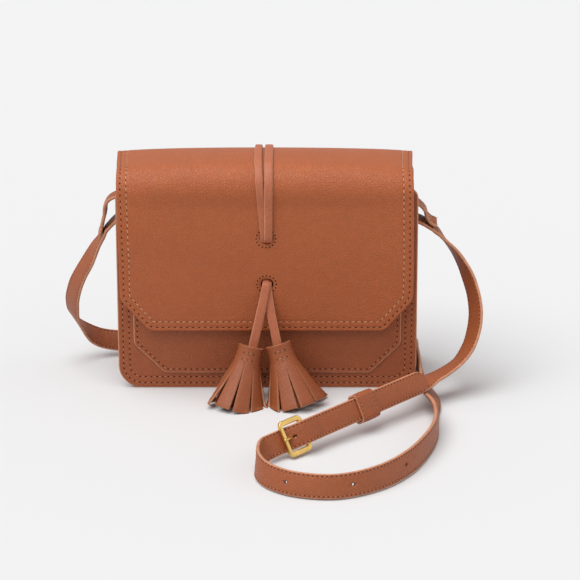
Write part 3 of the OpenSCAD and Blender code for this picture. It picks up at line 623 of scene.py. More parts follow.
wall_radii = [0.007, corner_round, corner_round, 0.007]


def settle(piece):
    """Draws the bag's brims in a little toward its mouth."""
    for vertex in piece.data.vertices:
        x, y, z = vertex.co
        brim = within((abs(x) - 0.0995) / 0.006)
        vertex.co.x -= math.copysign(0.0009 * brim * within((z - 0.02) / 0.12), x)
    piece.data.update()


valleys = [(0.0024, 0), (0.0031, -0.00010), (0.0038, -0.00026), (0.0045, -0.00010), (0.0053, 0),
           (0.0069, 0),
           (0.0077, -0.00010), (0.0084, -0.00026), (0.0091, -0.00010), (0.0100, 0)]
front_panel = cut_panel("front_panel_leather", wall_corners(body_half, front_top), wall_radii, front_y,
                        0.0024, valleys)
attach(front_panel, "body")
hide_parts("front_panel")
back_panel = cut_panel("back_panel_leather", wall_corners(body_half, back_top), wall_radii, back_y, 0.0024,
                       valleys + [(0.014, 0.0004), (0.022, 0.0010), (0.034, 0.0016), (0.052, 0.0020)],
                       facing=1)
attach(back_panel, "body")
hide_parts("back_panel")


def panel_seam(name, top, y, facing):
    rows = wall_rows(wall_corners(body_half, top), wall_radii, (0.0038, 0.0084), y, facing, 8)
    piece = seam(name, rows, pitch=0.0041, stitch=0.0024, hole=0.0014)
    settle(piece)
    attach(piece, "body")


panel_seam("front_panel_stitches", front_top, front_y + 0.00012, -1)
panel_seam("back_panel_stitches", back_top - 0.004, back_y - 0.00012, 1)
for piece in (front_panel, back_panel):
    settle(piece)

# ---- Front patch ----------------------------------------------------------------------------
# A second layer of the leather on the front panel, with slanted lower corners.
# It is glued, edge painted and held by one row close to its edge.

patch_half, patch_low, patch_high, patch_cut, patch_thick = 0.096, 0.012, 0.118, 0.022, 0.0016
patch_y = front_y - patch_thick
patch_corners = [(patch_half, patch_high), (patch_half, patch_low + patch_cut),
                 (patch_half - patch_cut, patch_low), (-patch_half + patch_cut, patch_low),
                 (-patch_half, patch_low + patch_cut), (-patch_half, patch_high)]
patch_radii = [0.003, 0.007, 0.007, 0.007, 0.007, 0.003]
patch = cut_panel("front_patch_leather", patch_corners, patch_radii, patch_y, patch_thick,
                  [(0.0016, 0), (0.0022, -0.00008), (0.0028, -0.00022), (0.0034, -0.00008), (0.0042, 0),
                   (0.008, 0.0002), (0.014, 0.0004), (0.022, 0.0006), (0.030, 0.0007)])
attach(patch, "body")
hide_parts("front_patch")
patch_seam = seam("front_patch_stitches", wall_rows(patch_corners, patch_radii, (0.0028,),
                                                    patch_y + 0.0001, -1),
                  pitch=0.0042, stitch=0.0025, hole=0.0014)
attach(patch_seam, "body")

# ---- Gusset ---------------------------------------------------------------------------------
# One band of thinner leather round the sides and the base, turned out into flanges at both panels.
# Its walls are unlined at the seams and give a little, so they draw in between the panels.

gusset_out, gusset_low, gusset_top, gusset_skin = 0.0985, 0.009, 0.153, 0.0018
pull_low, pull_high = 0.136, 0.015
flange_y, gusset_round = 0.0276, 0.012


def gusset_line(half, low, top, radius, count=9):
    """One side of the gusset from its top down, round the corner and along the base, mirrored."""
    arc = [(half - radius + radius * math.cos(a), low + radius - radius * math.sin(a))
           for a in np.linspace(0, math.pi / 2, count)]
    side = [(half, z) for z in np.linspace(top, low + radius, 22)[:-1]]
    base = [(x, low) for x in np.linspace(half - radius, 0, 13)[1:]]
    right = np.array(side + arc + base)
    return np.concatenate([right, right[-2::-1] * [-1, 1]])


roots = gusset_line(gusset_out, gusset_low, gusset_top, gusset_round)
brims = gusset_line(body_half - 0.0002, 0.0002, gusset_top, corner_round)
roots_out = unit(brims - roots)
depth = np.clip((gusset_top - roots[:, 1]) / 0.02, 0, 1) * np.clip((roots[:, 1] - gusset_low) / 0.04, 0, 1)
fold = 0.0022
outer = [(1.0, -flange_y), (1.0, -flange_y + 0.0016), (0.96, -flange_y + gusset_skin),
         (0.6, -flange_y + gusset_skin),
         (0.3, -flange_y + gusset_skin)]
outer += [(fold / 0.009 * (1 - math.sin(a)), -flange_y + gusset_skin + fold * (1 - math.cos(a)))
          for a in np.linspace(0, math.pi / 2, 5)]
wall = np.linspace(-flange_y + gusset_skin + fold, flange_y - gusset_skin - fold, 15)[1:-1]
web = [(0.0, y) for y in wall]
outline_points = outer + web + [(f, -y) for f, y in outer[::-1]]
inner_y = np.linspace(flange_y, -flange_y, 12)
section_points = [(f, y, 0) for f, y in outline_points] + [(0.0, y, 1) for y in inner_y]
points = []
for i, root in enumerate(roots):
    span = np.linalg.norm(brims[i] - root)
    span *= 0.35 + 0.65 * math.sqrt(1 - (1 - min(1, (gusset_top - root[1]) / 0.006)) ** 2)
    for f, y, inside in section_points:
        between = max(math.cos(y / flange_y * math.pi / 2), 0)
        sag = 0.0026 * depth[i] * between ** 1.5 if f == 0 else 0
        if root[0] < 0 and f == 0:
            sag -= 0.0062 * within((root[1] - pull_low) / pull_high) ** 1.4 * between ** 2
        flat = root + roots_out[i] * (f * span - sag - gusset_skin * inside)
        drop = 0.0060 if root[0] > 0 else 0.0045
        drop = drop * within((root[1] - 0.13) / 0.023) * within((-y - 0.018) / 0.008)
        points.append((flat[0], y, flat[1] - drop))
count = len(section_points)
skin_faces, edge_faces = [], [tuple(range(count)), tuple(range(len(points) - count, len(points)))[::-1]]
for i in range(len(roots) - 1):
    for k in range(count):
        a, b, c, d = ring_quad(i, k, count)
        rim = k in (0, 1) or section_points[k][0] >= 0.96 and section_points[(k + 1) % count][0] >= 0.96
        (edge_faces if rim else skin_faces).append((a, d, c, b))
gusset = new_piece("gusset_leather", points, (skin_faces, edge_faces), (shaded_body_tan, tan_edge))
face_outward(gusset)
settle(gusset)
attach(gusset, "body")
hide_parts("gusset")

# ---- Lining, pocket and base board ----------------------------------------------------------
# A woven cotton lining glued in at the mouth, with a hemmed slip pocket on its back wall.
# A stiff board under it keeps the base flat.


def woven_cloth(name, colour, thread=2600):
    """Plain weave: two crossed sets of threads, with slubs and faded patches."""
    finish = Finish(name, Roughness=0.85, Specular_IOR_Level=0.2, Sheen_Weight=0.15)
    spot = finish.place(1)
    warp, weft = (finish.node("TexWave", {"bands_direction": way},
                              {"Vector": spot, "Scale": thread / 6.28, "Distortion": 0.3}) for way in "XZ")
    slub = finish.noise(finish.place(320), 3)
    faded = finish.noise(finish.place(25), 3)
    dark = shade(colour, 0.6)
    cloth = finish.mix(warp * 0.3 + weft * 0.3 + slub * 0.25 + faded * 0.25, dark, colour)
    return finish.set(Base_Color=cloth, Normal=finish.relief(warp + weft + slub * 0.6, 0.00018))


lining_cloth = woven_cloth("lining_cloth", tone(186, 158, 128))
board_grey = Finish("board_grey", Roughness=0.9)
board_grey.set(Base_Color=board_grey.mix(board_grey.noise(board_grey.place(500), 4), tone(96, 90, 84),
                                         tone(132, 124, 116)))
lining_half, lining_low, lining_high, lining_y = 0.0966, 0.0128, 0.1525, 0.0275


def edit(piece):
    """Opens one piece in edit mode with nothing selected."""
    bpy.ops.object.select_all(action="DESELECT")
    bpy.context.view_layer.objects.active = piece
    piece.select_set(True)
    bpy.ops.object.mode_set(mode="EDIT")
    bpy.ops.mesh.select_mode(type="VERT")
    bpy.ops.mesh.select_all(action="DESELECT")
    return piece


def pick(kind, test):
    """Selects the verts, edges or faces of the open piece that pass a test, and no others."""
    bpy.ops.mesh.select_mode(type={"verts": "VERT", "edges": "EDGE", "faces": "FACE"}[kind])
    bpy.ops.mesh.select_all(action="DESELECT")
    bm = bmesh.from_edit_mesh(bpy.context.object.data)
    for element in getattr(bm, kind):
        if test(element):
            element.select_set(True)
    bm.select_flush_mode()
    bmesh.update_edit_mesh(bpy.context.object.data)


def middle(element):
    return sum((v.co for v in element.verts), Vector()) / len(element.verts)


def close(piece):
    bpy.ops.object.mode_set(mode="OBJECT")
    return piece


lining = basic_solid("cube", size=1)
lining.name = lining.data.name = "lining_box"
lining.data.transform(Matrix.Translation((0, 0, (lining_low + lining_high) / 2))
                      @ Matrix.Diagonal((2 * lining_half, 2 * lining_y, lining_high - lining_low, 1)))
edit(lining)
pick("edges", lambda e: abs(middle(e).x) > 0.05 and middle(e).z < 0.05 and abs(middle(e).y) < 0.001)
bpy.ops.mesh.bevel(offset=0.0102, segments=8, affect="EDGES")
pick("faces", lambda f: f.normal.z > 0.9 and middle(f).z > 0.1)
bpy.ops.mesh.delete(type="FACE")
bpy.ops.mesh.select_all(action="SELECT")
bpy.ops.mesh.subdivide(number_cuts=9)
close(lining)
for vertex in lining.data.vertices:
    x, y, z = vertex.co
    slack = math.sin(within((z - lining_low) / 0.13) * math.pi)
    ripple = math.sin(x * 140 + z * 90) * 0.0003 + math.sin(x * 61 - z * 113) * 0.0004
    if abs(y) > lining_y - 1e-4:
        vertex.co.y -= math.copysign((0.0005 + ripple) * slack, y)
    elif abs(x) > 0.09:
        vertex.co.x -= math.copysign((0.0028 * math.cos(y / lining_y * math.pi / 2) + ripple) * slack, x)
        if x < 0:
            bulge = 0.0040 * within((z - pull_low) / pull_high) ** 1.4
            vertex.co.x -= bulge * max(math.cos(y / lining_y * math.pi / 2), 0) ** 3
    if y < -0.02:
        vertex.co.z -= 0.0045 * within((z - 0.13) / 0.022)
lining.data.materials.append(lining_cloth)
apply(lining, "SOLIDIFY", thickness=0.0008, offset=-1)
lining.data.polygons.foreach_set("use_smooth", [True] * len(lining.data.polygons))
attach(lining, "body")
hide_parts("lining")

pocket_half, pocket_low, pocket_high, pocket_y = 0.060, 0.053, 0.128, 0.0262
pocket_corners, pocket_radii = (wall_corners(pocket_half, pocket_high, pocket_low),
                                [0.002, 0.008, 0.008, 0.002])
pocket = cut_panel("inner_pocket_cloth", pocket_corners, pocket_radii, pocket_y, 0.0008,
                   [(0.0016, 0), (0.0022, -0.00012), (0.003, 0), (0.012, 0.0003), (0.024, 0.0004)],
                   lining_cloth,
                   lining_cloth)
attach(pocket, "body")
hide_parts("inner_pocket")
pocket_seam = seam("inner_pocket_stitches", wall_rows(pocket_corners, pocket_radii, (0.0022,), pocket_y, -1,
                                                      8), pitch=0.0032, stitch=0.0022)
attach(pocket_seam, "body")


def coat(node, material):
    """Gives a CAD solid its material."""
    solid = bpy.data.objects[node]
    solid.data.materials.clear()
    solid.data.materials.append(material)


coat("base_board", board_grey.material)

# ---- Flap -----------------------------------------------------------------------------------
# One supple sheet: up the front, softly rolled over the top and down to its tail, which is sewn
# on the back panel. Suede faces it inside, and two reinforced holes let the laces through.

flap_face_y, flap_low, roll_z, roll_radius = -0.0374, 0.0458, 0.145, 0.018
rear_y, rear_z, rear_radius, tail_low = 0.0235, 0.1545, 0.0085, 0.1185
stretches = np.cumsum([0, roll_z - flap_low, math.pi / 2 * roll_radius, rear_y - flap_face_y - roll_radius,
                       math.pi / 2 * rear_radius, rear_z - tail_low])
flap_half, flap_rear_half, flap_cut_w, flap_cut_h = 0.1042, 0.107, 0.0205, 0.0235
eye_high, eye_low, eye_half, eye_reach, eye_round = 0.1148, 0.0812, 0.0045, 0.004, 0.0038


def flap_section(s):
    """The flap's side view at s metres from its front edge: y, z and the outward direction."""
    a = np.clip((s - stretches[1]) / roll_radius, 0, math.pi / 2)
    b = np.clip((s - stretches[3]) / rear_radius, 0, math.pi / 2)
    front, roll, top = s < stretches[1], s < stretches[2], s < stretches[3]
    y = np.select([front, roll, top, s < stretches[4]],
                  [flap_face_y + 0 * s, flap_face_y + roll_radius * (1 - np.cos(a)),
                   flap_face_y + roll_radius + s - stretches[2], rear_y + rear_radius * np.sin(b)],
                  rear_y + rear_radius)
    z = np.select([front, roll, top, s < stretches[4]],
                  [flap_low + s, roll_z + roll_radius * np.sin(a), roll_z + roll_radius + 0 * s,
                   rear_z + rear_radius * np.cos(b)], rear_z - (s - stretches[4]))
    out_y = np.select([roll, top, s < stretches[4]], [-np.cos(a), 0 * s, np.sin(b)], 1.0)
    out_z = np.select([roll, top, s < stretches[4]], [np.sin(a), 0 * s + 1, np.cos(b)], 0.0)
    return y, z, out_y, out_z


def flap_swell(x, s):
    """How far the sheet stands off its plain section: arched over the top, slack down the front."""
    u = np.clip(np.abs(x) / flap_half, 0, 1)
    over = np.sin(np.clip((s - 0.092) / (stretches[4] - 0.092), 0, 1) * math.pi) ** 0.8
    over = over * (0.0050 - 0.0040 * u ** 2.4 - 0.0011 * u ** 8)
    over = over - 0.0020 * np.exp(-((s - 0.111) / 0.029) ** 2)
    front = np.sin(np.clip(s / 0.105, 0, 1) * math.pi) * (0.0012 - 0.0006 * u ** 2)
    slack = (np.sin(x * 37 + s * 51) * np.sin(x * 23 - s * 67 + 1.0) * 0.5
             + np.sin(x * 71 - s * 83 + 2.0) * 0.2)
    calm = np.clip((stretches[4] - s) / 0.02, 0, 1) * np.clip(s / 0.02, 0, 1)
    return over + front + 0.00035 * slack * calm


def flap_surface(x, s, lift=0.0):
    y, z, out_y, out_z = flap_section(s)
    off = flap_swell(x, s) + lift
    astray = (-0.0003 - 0.0015 * np.clip((s - 0.05) / 0.09, 0, 1)
              * np.clip((stretches[5] - s) / 0.03, 0.5, 1))
    return np.stack([x + astray, y + out_y * off, z + out_z * off], -1), np.stack([0 * x, out_y, out_z], -1)


flap_corners = [(flap_half - flap_cut_w, 0), (flap_half, flap_cut_h), (flap_half, stretches[2]),
                (flap_rear_half, stretches[3]), (flap_rear_half, stretches[5]),
                (-flap_rear_half, stretches[5]),
                (-flap_rear_half, stretches[3]), (-flap_half, stretches[2]), (-flap_half, flap_cut_h),
                (-flap_half + flap_cut_w, 0)]
flap_radii = [0.009, 0.011, 0.03, 0.03, 0.012, 0.012, 0.03, 0.03, 0.011, 0.009]
flap_edge = rounded_outline(flap_corners, flap_radii)
dense_edge = dense(np.concatenate([flap_edge, flap_edge[:1]]), 0.0012)
insets = np.array([0, 0.4, 0.8, 1.3, 1.9, 2.4, 2.9, 3.4, 4.0, 5.0, 6.0, 6.6, 7.1, 7.6, 8.4, 9.5, 11, 14,
                   18]) / 1000
rows_s = np.concatenate([insets, np.arange(0.021, stretches[5] - 0.018, 0.0024), stretches[5] - insets,
                         flap_edge[flap_edge[:, 1] < 0.03][:, 1],
                         np.arange(eye_low - flap_low - 0.008, eye_low - flap_low + 0.008, 0.0008),
                         np.arange(eye_high - flap_low - 0.008, eye_high - flap_low + 0.008, 0.0008)])
rows_s = np.unique(np.round(rows_s, 5))
rows_s = rows_s[np.concatenate([[True], np.diff(rows_s) > 0.0003])]
columns = np.concatenate([flap_half - insets, np.arange(0.012, flap_half - 0.02, 0.0038),
                          np.arange(0, 0.010, 0.0009)])
columns = np.unique(np.round(np.concatenate([columns, -columns]), 5)) / flap_half
right_edge = dense_edge[dense_edge[:, 0] > 0.03]
right_edge = right_edge[np.argsort(right_edge[:, 1])]
half_at = np.interp(rows_s, right_edge[:, 1], right_edge[:, 0])
grid_x = columns[None] * half_at[:, None]
grid_s = np.repeat(rows_s[:, None], len(columns), 1)
flat = np.stack([grid_x, grid_s], -1).reshape(-1, 2)
to_edge = np.concatenate([np.sqrt(((chunk[:, None] - dense_edge[None]) ** 2).sum(-1)).min(1)
                          for chunk in np.array_split(flat, 12)]).reshape(grid_x.shape)
to_edge[[0, -1]] = 0
to_edge[:, [0, -1]] = 0
seam_insets = (0.0029, 0.0071)
pressed = sum(np.exp(-((to_edge - inset) / 0.0008) ** 2) for inset in seam_insets) * 0.00024
rim = 0.0007 * np.clip(1 - to_edge / 0.0008, 0, 1) ** 2


def from_eye(x, s, centre):
    """Distance to the rim of a hole in the flap, negative inside it."""
    dx = np.maximum(np.abs(x) - (eye_half - eye_round), 0)
    ds = np.maximum(np.abs(s + flap_low - centre) - (eye_reach - eye_round), 0)
    return np.sqrt(dx ** 2 + ds ** 2) - eye_round


to_eye = np.minimum(from_eye(grid_x, grid_s, eye_high), from_eye(grid_x, grid_s, eye_low))
dimple = 0.0004 * np.exp(-(np.maximum(to_eye, 0) / 0.0011) ** 2)
outer, normal = flap_surface(grid_x, grid_s)
outer = outer - normal * (pressed + rim + dimple)[..., None]
thickness = np.where(grid_s > stretches[4] - 0.002, 0.0019, 0.0028)
inner = flap_surface(grid_x, grid_s)[0] - normal * (thickness - rim * 0.6)[..., None]
rows_n, cols_n = grid_x.shape
index = np.arange(rows_n * cols_n).reshape(rows_n, cols_n)
inside = index + rows_n * cols_n


def grid_faces(table, flip=False):
    quads = np.stack([table[:-1, :-1], table[:-1, 1:], table[1:, 1:], table[1:, :-1]], -1).reshape(-1, 4)
    return [tuple(q[::-1] if flip else q) for q in quads.tolist()]


def rim_faces(a, b):
    """The wall between two grids, round their border."""
    loops = [np.concatenate([t[0, :-1], t[:-1, -1], t[-1, :0:-1], t[:0:-1, 0]]) for t in (a, b)]
    return [(loops[0][i - 1], loops[0][i], loops[1][i], loops[1][i - 1]) for i in range(len(loops[0]))]


def suede(name, colour):
    """Split leather with a short nap, brushed in soft patches."""
    finish = Finish(name, Roughness=0.95, Specular_IOR_Level=0.15, Sheen_Weight=0.35)
    nap = finish.noise(finish.place(1500), 4, 0.7)
    brushed = finish.noise(finish.place(70), 3)
    return finish.set(Base_Color=finish.mix(brushed * 0.6 + nap * 0.4, shade(colour, 0.6),
                                            colour), Normal=finish.relief(nap, 0.0003))


suede_facing = suede("suede_facing", tone(150, 92, 60))
edge_quads = [tuple(int(v) for v in q) for q in rim_faces(index, inside)]
flap = new_piece("flap_leather", np.concatenate([outer.reshape(-1, 3), inner.reshape(-1, 3)]),
                 (grid_faces(index), edge_quads, grid_faces(inside, True)), (tan, tan_edge, suede_facing))
face_outward(flap)
for centre in (eye_high, eye_low):
    punch = basic_solid("cube", size=1)
    punch.data.transform(Matrix.Translation((0, flap_face_y, centre))
                         @ Matrix.Diagonal((2 * eye_half, 0.02, 2 * eye_reach, 1)))
    edit(punch)
    pick("edges", lambda e: abs(middle(e).y - flap_face_y) < 0.001)
    bpy.ops.mesh.bevel(offset=eye_round, segments=8, affect="EDGES")
    close(punch)
    punch.data.materials.append(tan_edge)
    cut_away(flap, punch, material_mode="TRANSFER")
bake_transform(flap)
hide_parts("flap", "flap_lining", "flap_tail")


def flap_row(inset):
    flat = dense(rounded_outline(flap_corners, flap_radii, inset))
    flat = np.roll(flat[:-1], -int(np.argmax(flat[:, 1] + flat[:, 0] * 0.01)), axis=0)
    place, out = flap_surface(flat[:, 0], flat[:, 1], -0.0002)
    return place, out


for name, inset, thread, stitch, hole in (("flap_inner_stitches", seam_insets[1], pale_thread, 0.0030,
                                           0.0010),
                                          ("flap_outer_stitches", seam_insets[0], tan_thread, 0.0022,
                                           0.0015)):
    row = seam(name, [flap_row(inset)], pitch=0.0043, thread=thread, stitch=stitch, hole=hole)
    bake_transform(row)
eye_rows = []
for centre in (eye_high, eye_low):
    a = np.linspace(0, 2 * math.pi, 60)
    x, s = 0.0069 * np.cos(a), centre - flap_low + 0.0064 * np.sin(a)
    eye_rows.append(flap_surface(x, s, 0.00003))
eye_seam = seam("flap_eye_stitches", eye_rows, pitch=0.0026, stitch=0.0015, thick=0.0005,
                hole=0.0013)
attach(eye_seam, "flap")

# ---- Magnetic snap --------------------------------------------------------------------------
# A stud riveted through the flap's facing closes on a socket riveted to the patch.


def metal(name, colour, roughness, scratch=0.12):
    """Plated brass: polished, with hairline scratches and a little handling haze."""
    finish = Finish(name, Metallic=1.0)
    haze = finish.noise(finish.place(240), 4, 0.6)
    hair = finish.node("TexNoise", {}, {"Vector": finish.place(400, 5200, 400), "Scale": 1.0,
                                        "Detail": 3.0})
    worn = shade(colour, 0.8)
    return finish.set(Base_Color=finish.mix(haze.between(0.35, 0.75), worn, colour),
                      Roughness=roughness + haze * 0.1 + hair * scratch,
                      Normal=finish.relief(hair, 0.00002))


brass = metal("polished_brass", tone(252, 212, 128), 0.26)
for node in ("snap_socket", "snap_stud"):
    coat(node, brass)

# ---- Laces ----------------------------------------------------------------------------------
# Two flat laces of the same leather run from the tail over the top, slant into the upper hole,
# pass behind the flap and come out of the lower hole, where they carry the tassels.

plain_half = [(0, 1.0), (0.45, 0.99), (0.72, 0.93), (0.88, 0.74), (0.97, 0.4), (1.0, 0)]


def lace_piece(name, middles, widths, across, thick, width=0.006):
    """A narrow plain lace with softly rounded edges; across scales its width along the way."""
    ahead, wide, face = strap_frames(middles, widths)
    upper = [(-a, b) for a, b in plain_half[::-1]] + plain_half[1:]
    loop = np.array(upper + [(-a, -b) for a, b in upper[1:-1]]) * [width / 2, thick / 2]
    across = np.broadcast_to(across, len(middles))
    rings = (middles[:, None] + loop[None, :, :1] * across[:, None, None] * wide[:, None]
             + loop[None, :, 1:] * face[:, None])
    m, n = len(loop), len(middles)
    table = np.arange(m * n).reshape(n, m)
    table = np.concatenate([table, table[:, :1]], 1)
    edge_columns = [k for k in range(m) if min(abs(loop[k][0]),
                                               abs(loop[(k + 1) % m][0])) > width / 2 * 0.86]
    quads = grid_faces(table)
    skin_faces = [q for i, q in enumerate(quads) if i % m not in edge_columns]
    edge_faces = [q for i, q in enumerate(quads) if i % m in edge_columns]
    edge_faces += [tuple(range(m)), tuple(range((n - 1) * m, n * m))[::-1]]
    piece = new_piece(name, rings.reshape(-1, 3), (skin_faces, edge_faces), (lace_skin, tan_edge))
    return face_outward(piece)


lace_skin = pebbled_leather("lace_leather", tone(186, 108, 72), tone(170, 92, 60), 0.5, 0.52)
behind_y = -0.0331
lace_thick = 0.0020
for side, name, top_x, eye_x, slot_x, out_x, out_y in ((-1, "left", -0.0062, -0.0016, -0.00215, -0.0006,
                                                        -0.0384),
                                                       (1, "right", 0.0013, 0.0011, 0.00215, 0.0006,
                                                        -0.0364)):
    s_list = np.linspace(stretches[5] - 0.0115, eye_high - flap_low + 0.0005, 90)
    share = np.clip((stretches[2] - s_list) / (stretches[2] - s_list[-1]), 0, 1)
    places = flap_surface(top_x + (eye_x - top_x) * share ** 1.3, s_list, lace_thick / 2 + 0.0002)[0]
    places[:, 0] = top_x + (eye_x - top_x) * share ** 1.3
    across = np.tile([1.0, 0, 0], (len(s_list), 1))
    if side > 0:
        climb = np.clip((share - 0.3) / 0.5, 0, 1)
        places[:, 1] -= 0.0011 * climb
        across[:, 1] = 0.32 * climb
    dive = [(eye_x, -0.0384 - 0.0004 * (side > 0), 0.1133), (eye_x, -0.0362, 0.1118),
            (slot_x, behind_y, 0.1075),
            (slot_x, behind_y, 0.099), (slot_x, behind_y, 0.091), (slot_x * 0.8, behind_y, 0.0866),
            (out_x * 1.6, (behind_y + out_y) / 2, 0.0838), (out_x, out_y, 0.0818)]
    dive = smooth_route([[places[-1], across[-1]]] + [[p, (1, 0, 0)] for p in dive], 5)
    line = np.concatenate([places, dive[0][1:]])
    ways = np.concatenate([across, dive[1][1:]])
    narrow = np.interp(np.arange(len(dive[0]) - 1), [0, 6, 14, 28, 36, 40],
                       [1, 0.95, 0.66, 0.66, 0.75, 0.95])
    narrow = np.concatenate([np.ones(len(places)), narrow])
    if side < 0:
        narrow[:len(places)] = 0.9
    lace = lace_piece("lace_%s_leather" % name, line, ways, narrow, thick=lace_thick)
    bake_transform(lace)
    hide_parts("lace_%s" % name, "lace_tail_%s" % name)
tail_rows, tail_half, tail_y = [], 0.0021, 0.03425
for x in (-0.0062, 0.0013):
    for z in (0.134, 0.139):
        tail_rows.append((np.array([(x - tail_half, tail_y, z), (x + tail_half, tail_y, z)]),
                          np.tile([0, 1.0, 0], (2, 1))))
tail_seam = seam("lace_tail_stitches", tail_rows, pitch=0.0021, stitch=0.0015, thick=0.0005, hole=0.0008)
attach(tail_seam, "body")

# ---- Tassel laces ---------------------------------------------------------------------------
# The laces' free ends hang out of the lower hole, the left one in front of the right one.
# Each turns over in the hole and runs down into the rolled head of its tassel.

drop_lines = {
    "left": [(-0.0006, -0.0366, 0.0822), (-0.0006, -0.0385, 0.0823), (-0.0007, -0.0400, 0.0810),
             (-0.0011, -0.0410, 0.0777), (-0.0034, -0.0437, 0.0670), (-0.0058, -0.0463, 0.0565),
             (-0.0078, -0.0484, 0.0482), (-0.0095, -0.0500, 0.0408), (-0.0102, -0.0507, 0.0376),
             (-0.0109, -0.0513, 0.0345)],
    "right": [(0.0008, -0.0352, 0.0820), (0.0007, -0.0368, 0.0820), (0.0005, -0.0381, 0.0806),
              (0.0005, -0.0389, 0.0770), (0.0020, -0.0417, 0.0665), (0.0038, -0.0445, 0.0565),
              (0.0061, -0.0476, 0.0458), (0.0072, -0.0491, 0.0400), (0.0076, -0.0498, 0.0370),
              (0.0081, -0.0505, 0.0345)]}
drop_twist = {"left": (0.02, 0.10), "right": (-0.04, -0.22)}
for name, line in drop_lines.items():
    first, last = drop_twist[name]
    rows = [[p, (1, first + (last - first) * i / (len(line) - 1), 0)] for i, p in enumerate(line)]
    middles, ways = smooth_route(rows, 7)
    narrow = np.interp(np.arange(len(middles)), [0, 10, 30, 45, len(middles)],
                       [0.86, 0.9, 1.04, 1.08, 1.05])
    drop = lace_piece("lace_drop_%s_leather" % name, middles, ways, narrow, thick=0.0019)
    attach(drop, "tassel_" + name)
    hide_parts("lace_drop_" + name)

# ---- Tassels --------------------------------------------------------------------------------
# Each tassel is one long piece of leather, cut into strips along most of its depth and rolled up.
# The uncut band makes the head, held by two stitches, and the strips flare and curl as they hang.

tassel_skin = pebbled_leather("tassel_leather", tone(153, 80, 40), tone(140, 71, 35), 0.8, 0.5)
cut_side = edge_paint("cut_leather", tone(196, 132, 96))
strip_slit, strip_end, roll_thick = 0.0150, 0.0470, 0.0017
head_radius, off_floor = 0.0091, 0.0006


def cone(t):
    """Radius and depth of the rolled leather at t metres from its top edge."""
    steps = np.linspace(0, t, 40)
    angle = np.radians(np.interp(steps, [0, 0.006, 0.011, 0.016, 0.024, 0.047], [-3, 2, 12, 20, 22, 21]))
    across, down = ((np.diff(steps) * (f(angle)[1:] + f(angle)[:-1]) / 2).sum() for f in (np.sin, np.cos))
    return head_radius + across, -down, angle[-1]


def solid_sheet(name, points, quads, thick, materials, offset=-1.0, soften=0.0003):
    """Gives a single sheet its thickness and slightly rounded cut edges."""
    sheet = new_piece(name, points, (quads,), materials)
    apply(sheet, "SOLIDIFY", thickness=thick, offset=offset, use_even_offset=True, material_offset_rim=1)
    apply(sheet, "BEVEL", width=soften, segments=2, limit_method="ANGLE", angle_limit=math.radians(50),
          harden_normals=False)
    sheet.data.polygons.foreach_set("use_smooth", [True] * len(sheet.data.polygons))
    return sheet


strip_columns = 6


def strip_points(centre_angle, half_angle, inset, lengths, spread, twist, curl, widen):
    """One hanging strip: rows of points across it from its slit down to its end."""
    r0, z0, a0 = cone(strip_slit)
    r0 = r0 + inset
    half0 = r0 * half_angle
    points = []
    for i, t in enumerate(lengths):
        share = i / (len(lengths) - 1)
        bend = a0 + (spread - a0) * min(1, share * 2.2) + curl * share ** 2
        if i:
            step = t - lengths[i - 1]
            r0, z0 = r0 + step * math.sin(bend), z0 - step * math.cos(bend)
        rho = max(r0 * (1 + 0.9 * share), 0.004)
        half = half0 + (widen - half0) * share ** 0.9
        turn = twist * share
        for k in range(strip_columns + 1):
            u = (2 * k / strip_columns - 1) * half
            across, sag = rho * math.sin(u / rho), rho * (1 - math.cos(u / rho))
            side = across * math.cos(turn)
            out = r0 - sag * math.cos(bend) + across * math.sin(turn)
            points.append((out * math.sin(centre_angle) + side * math.cos(centre_angle),
                           -out * math.cos(centre_angle) + side * math.sin(centre_angle),
                           z0 - sag * math.sin(bend) * 0.6))
    return points


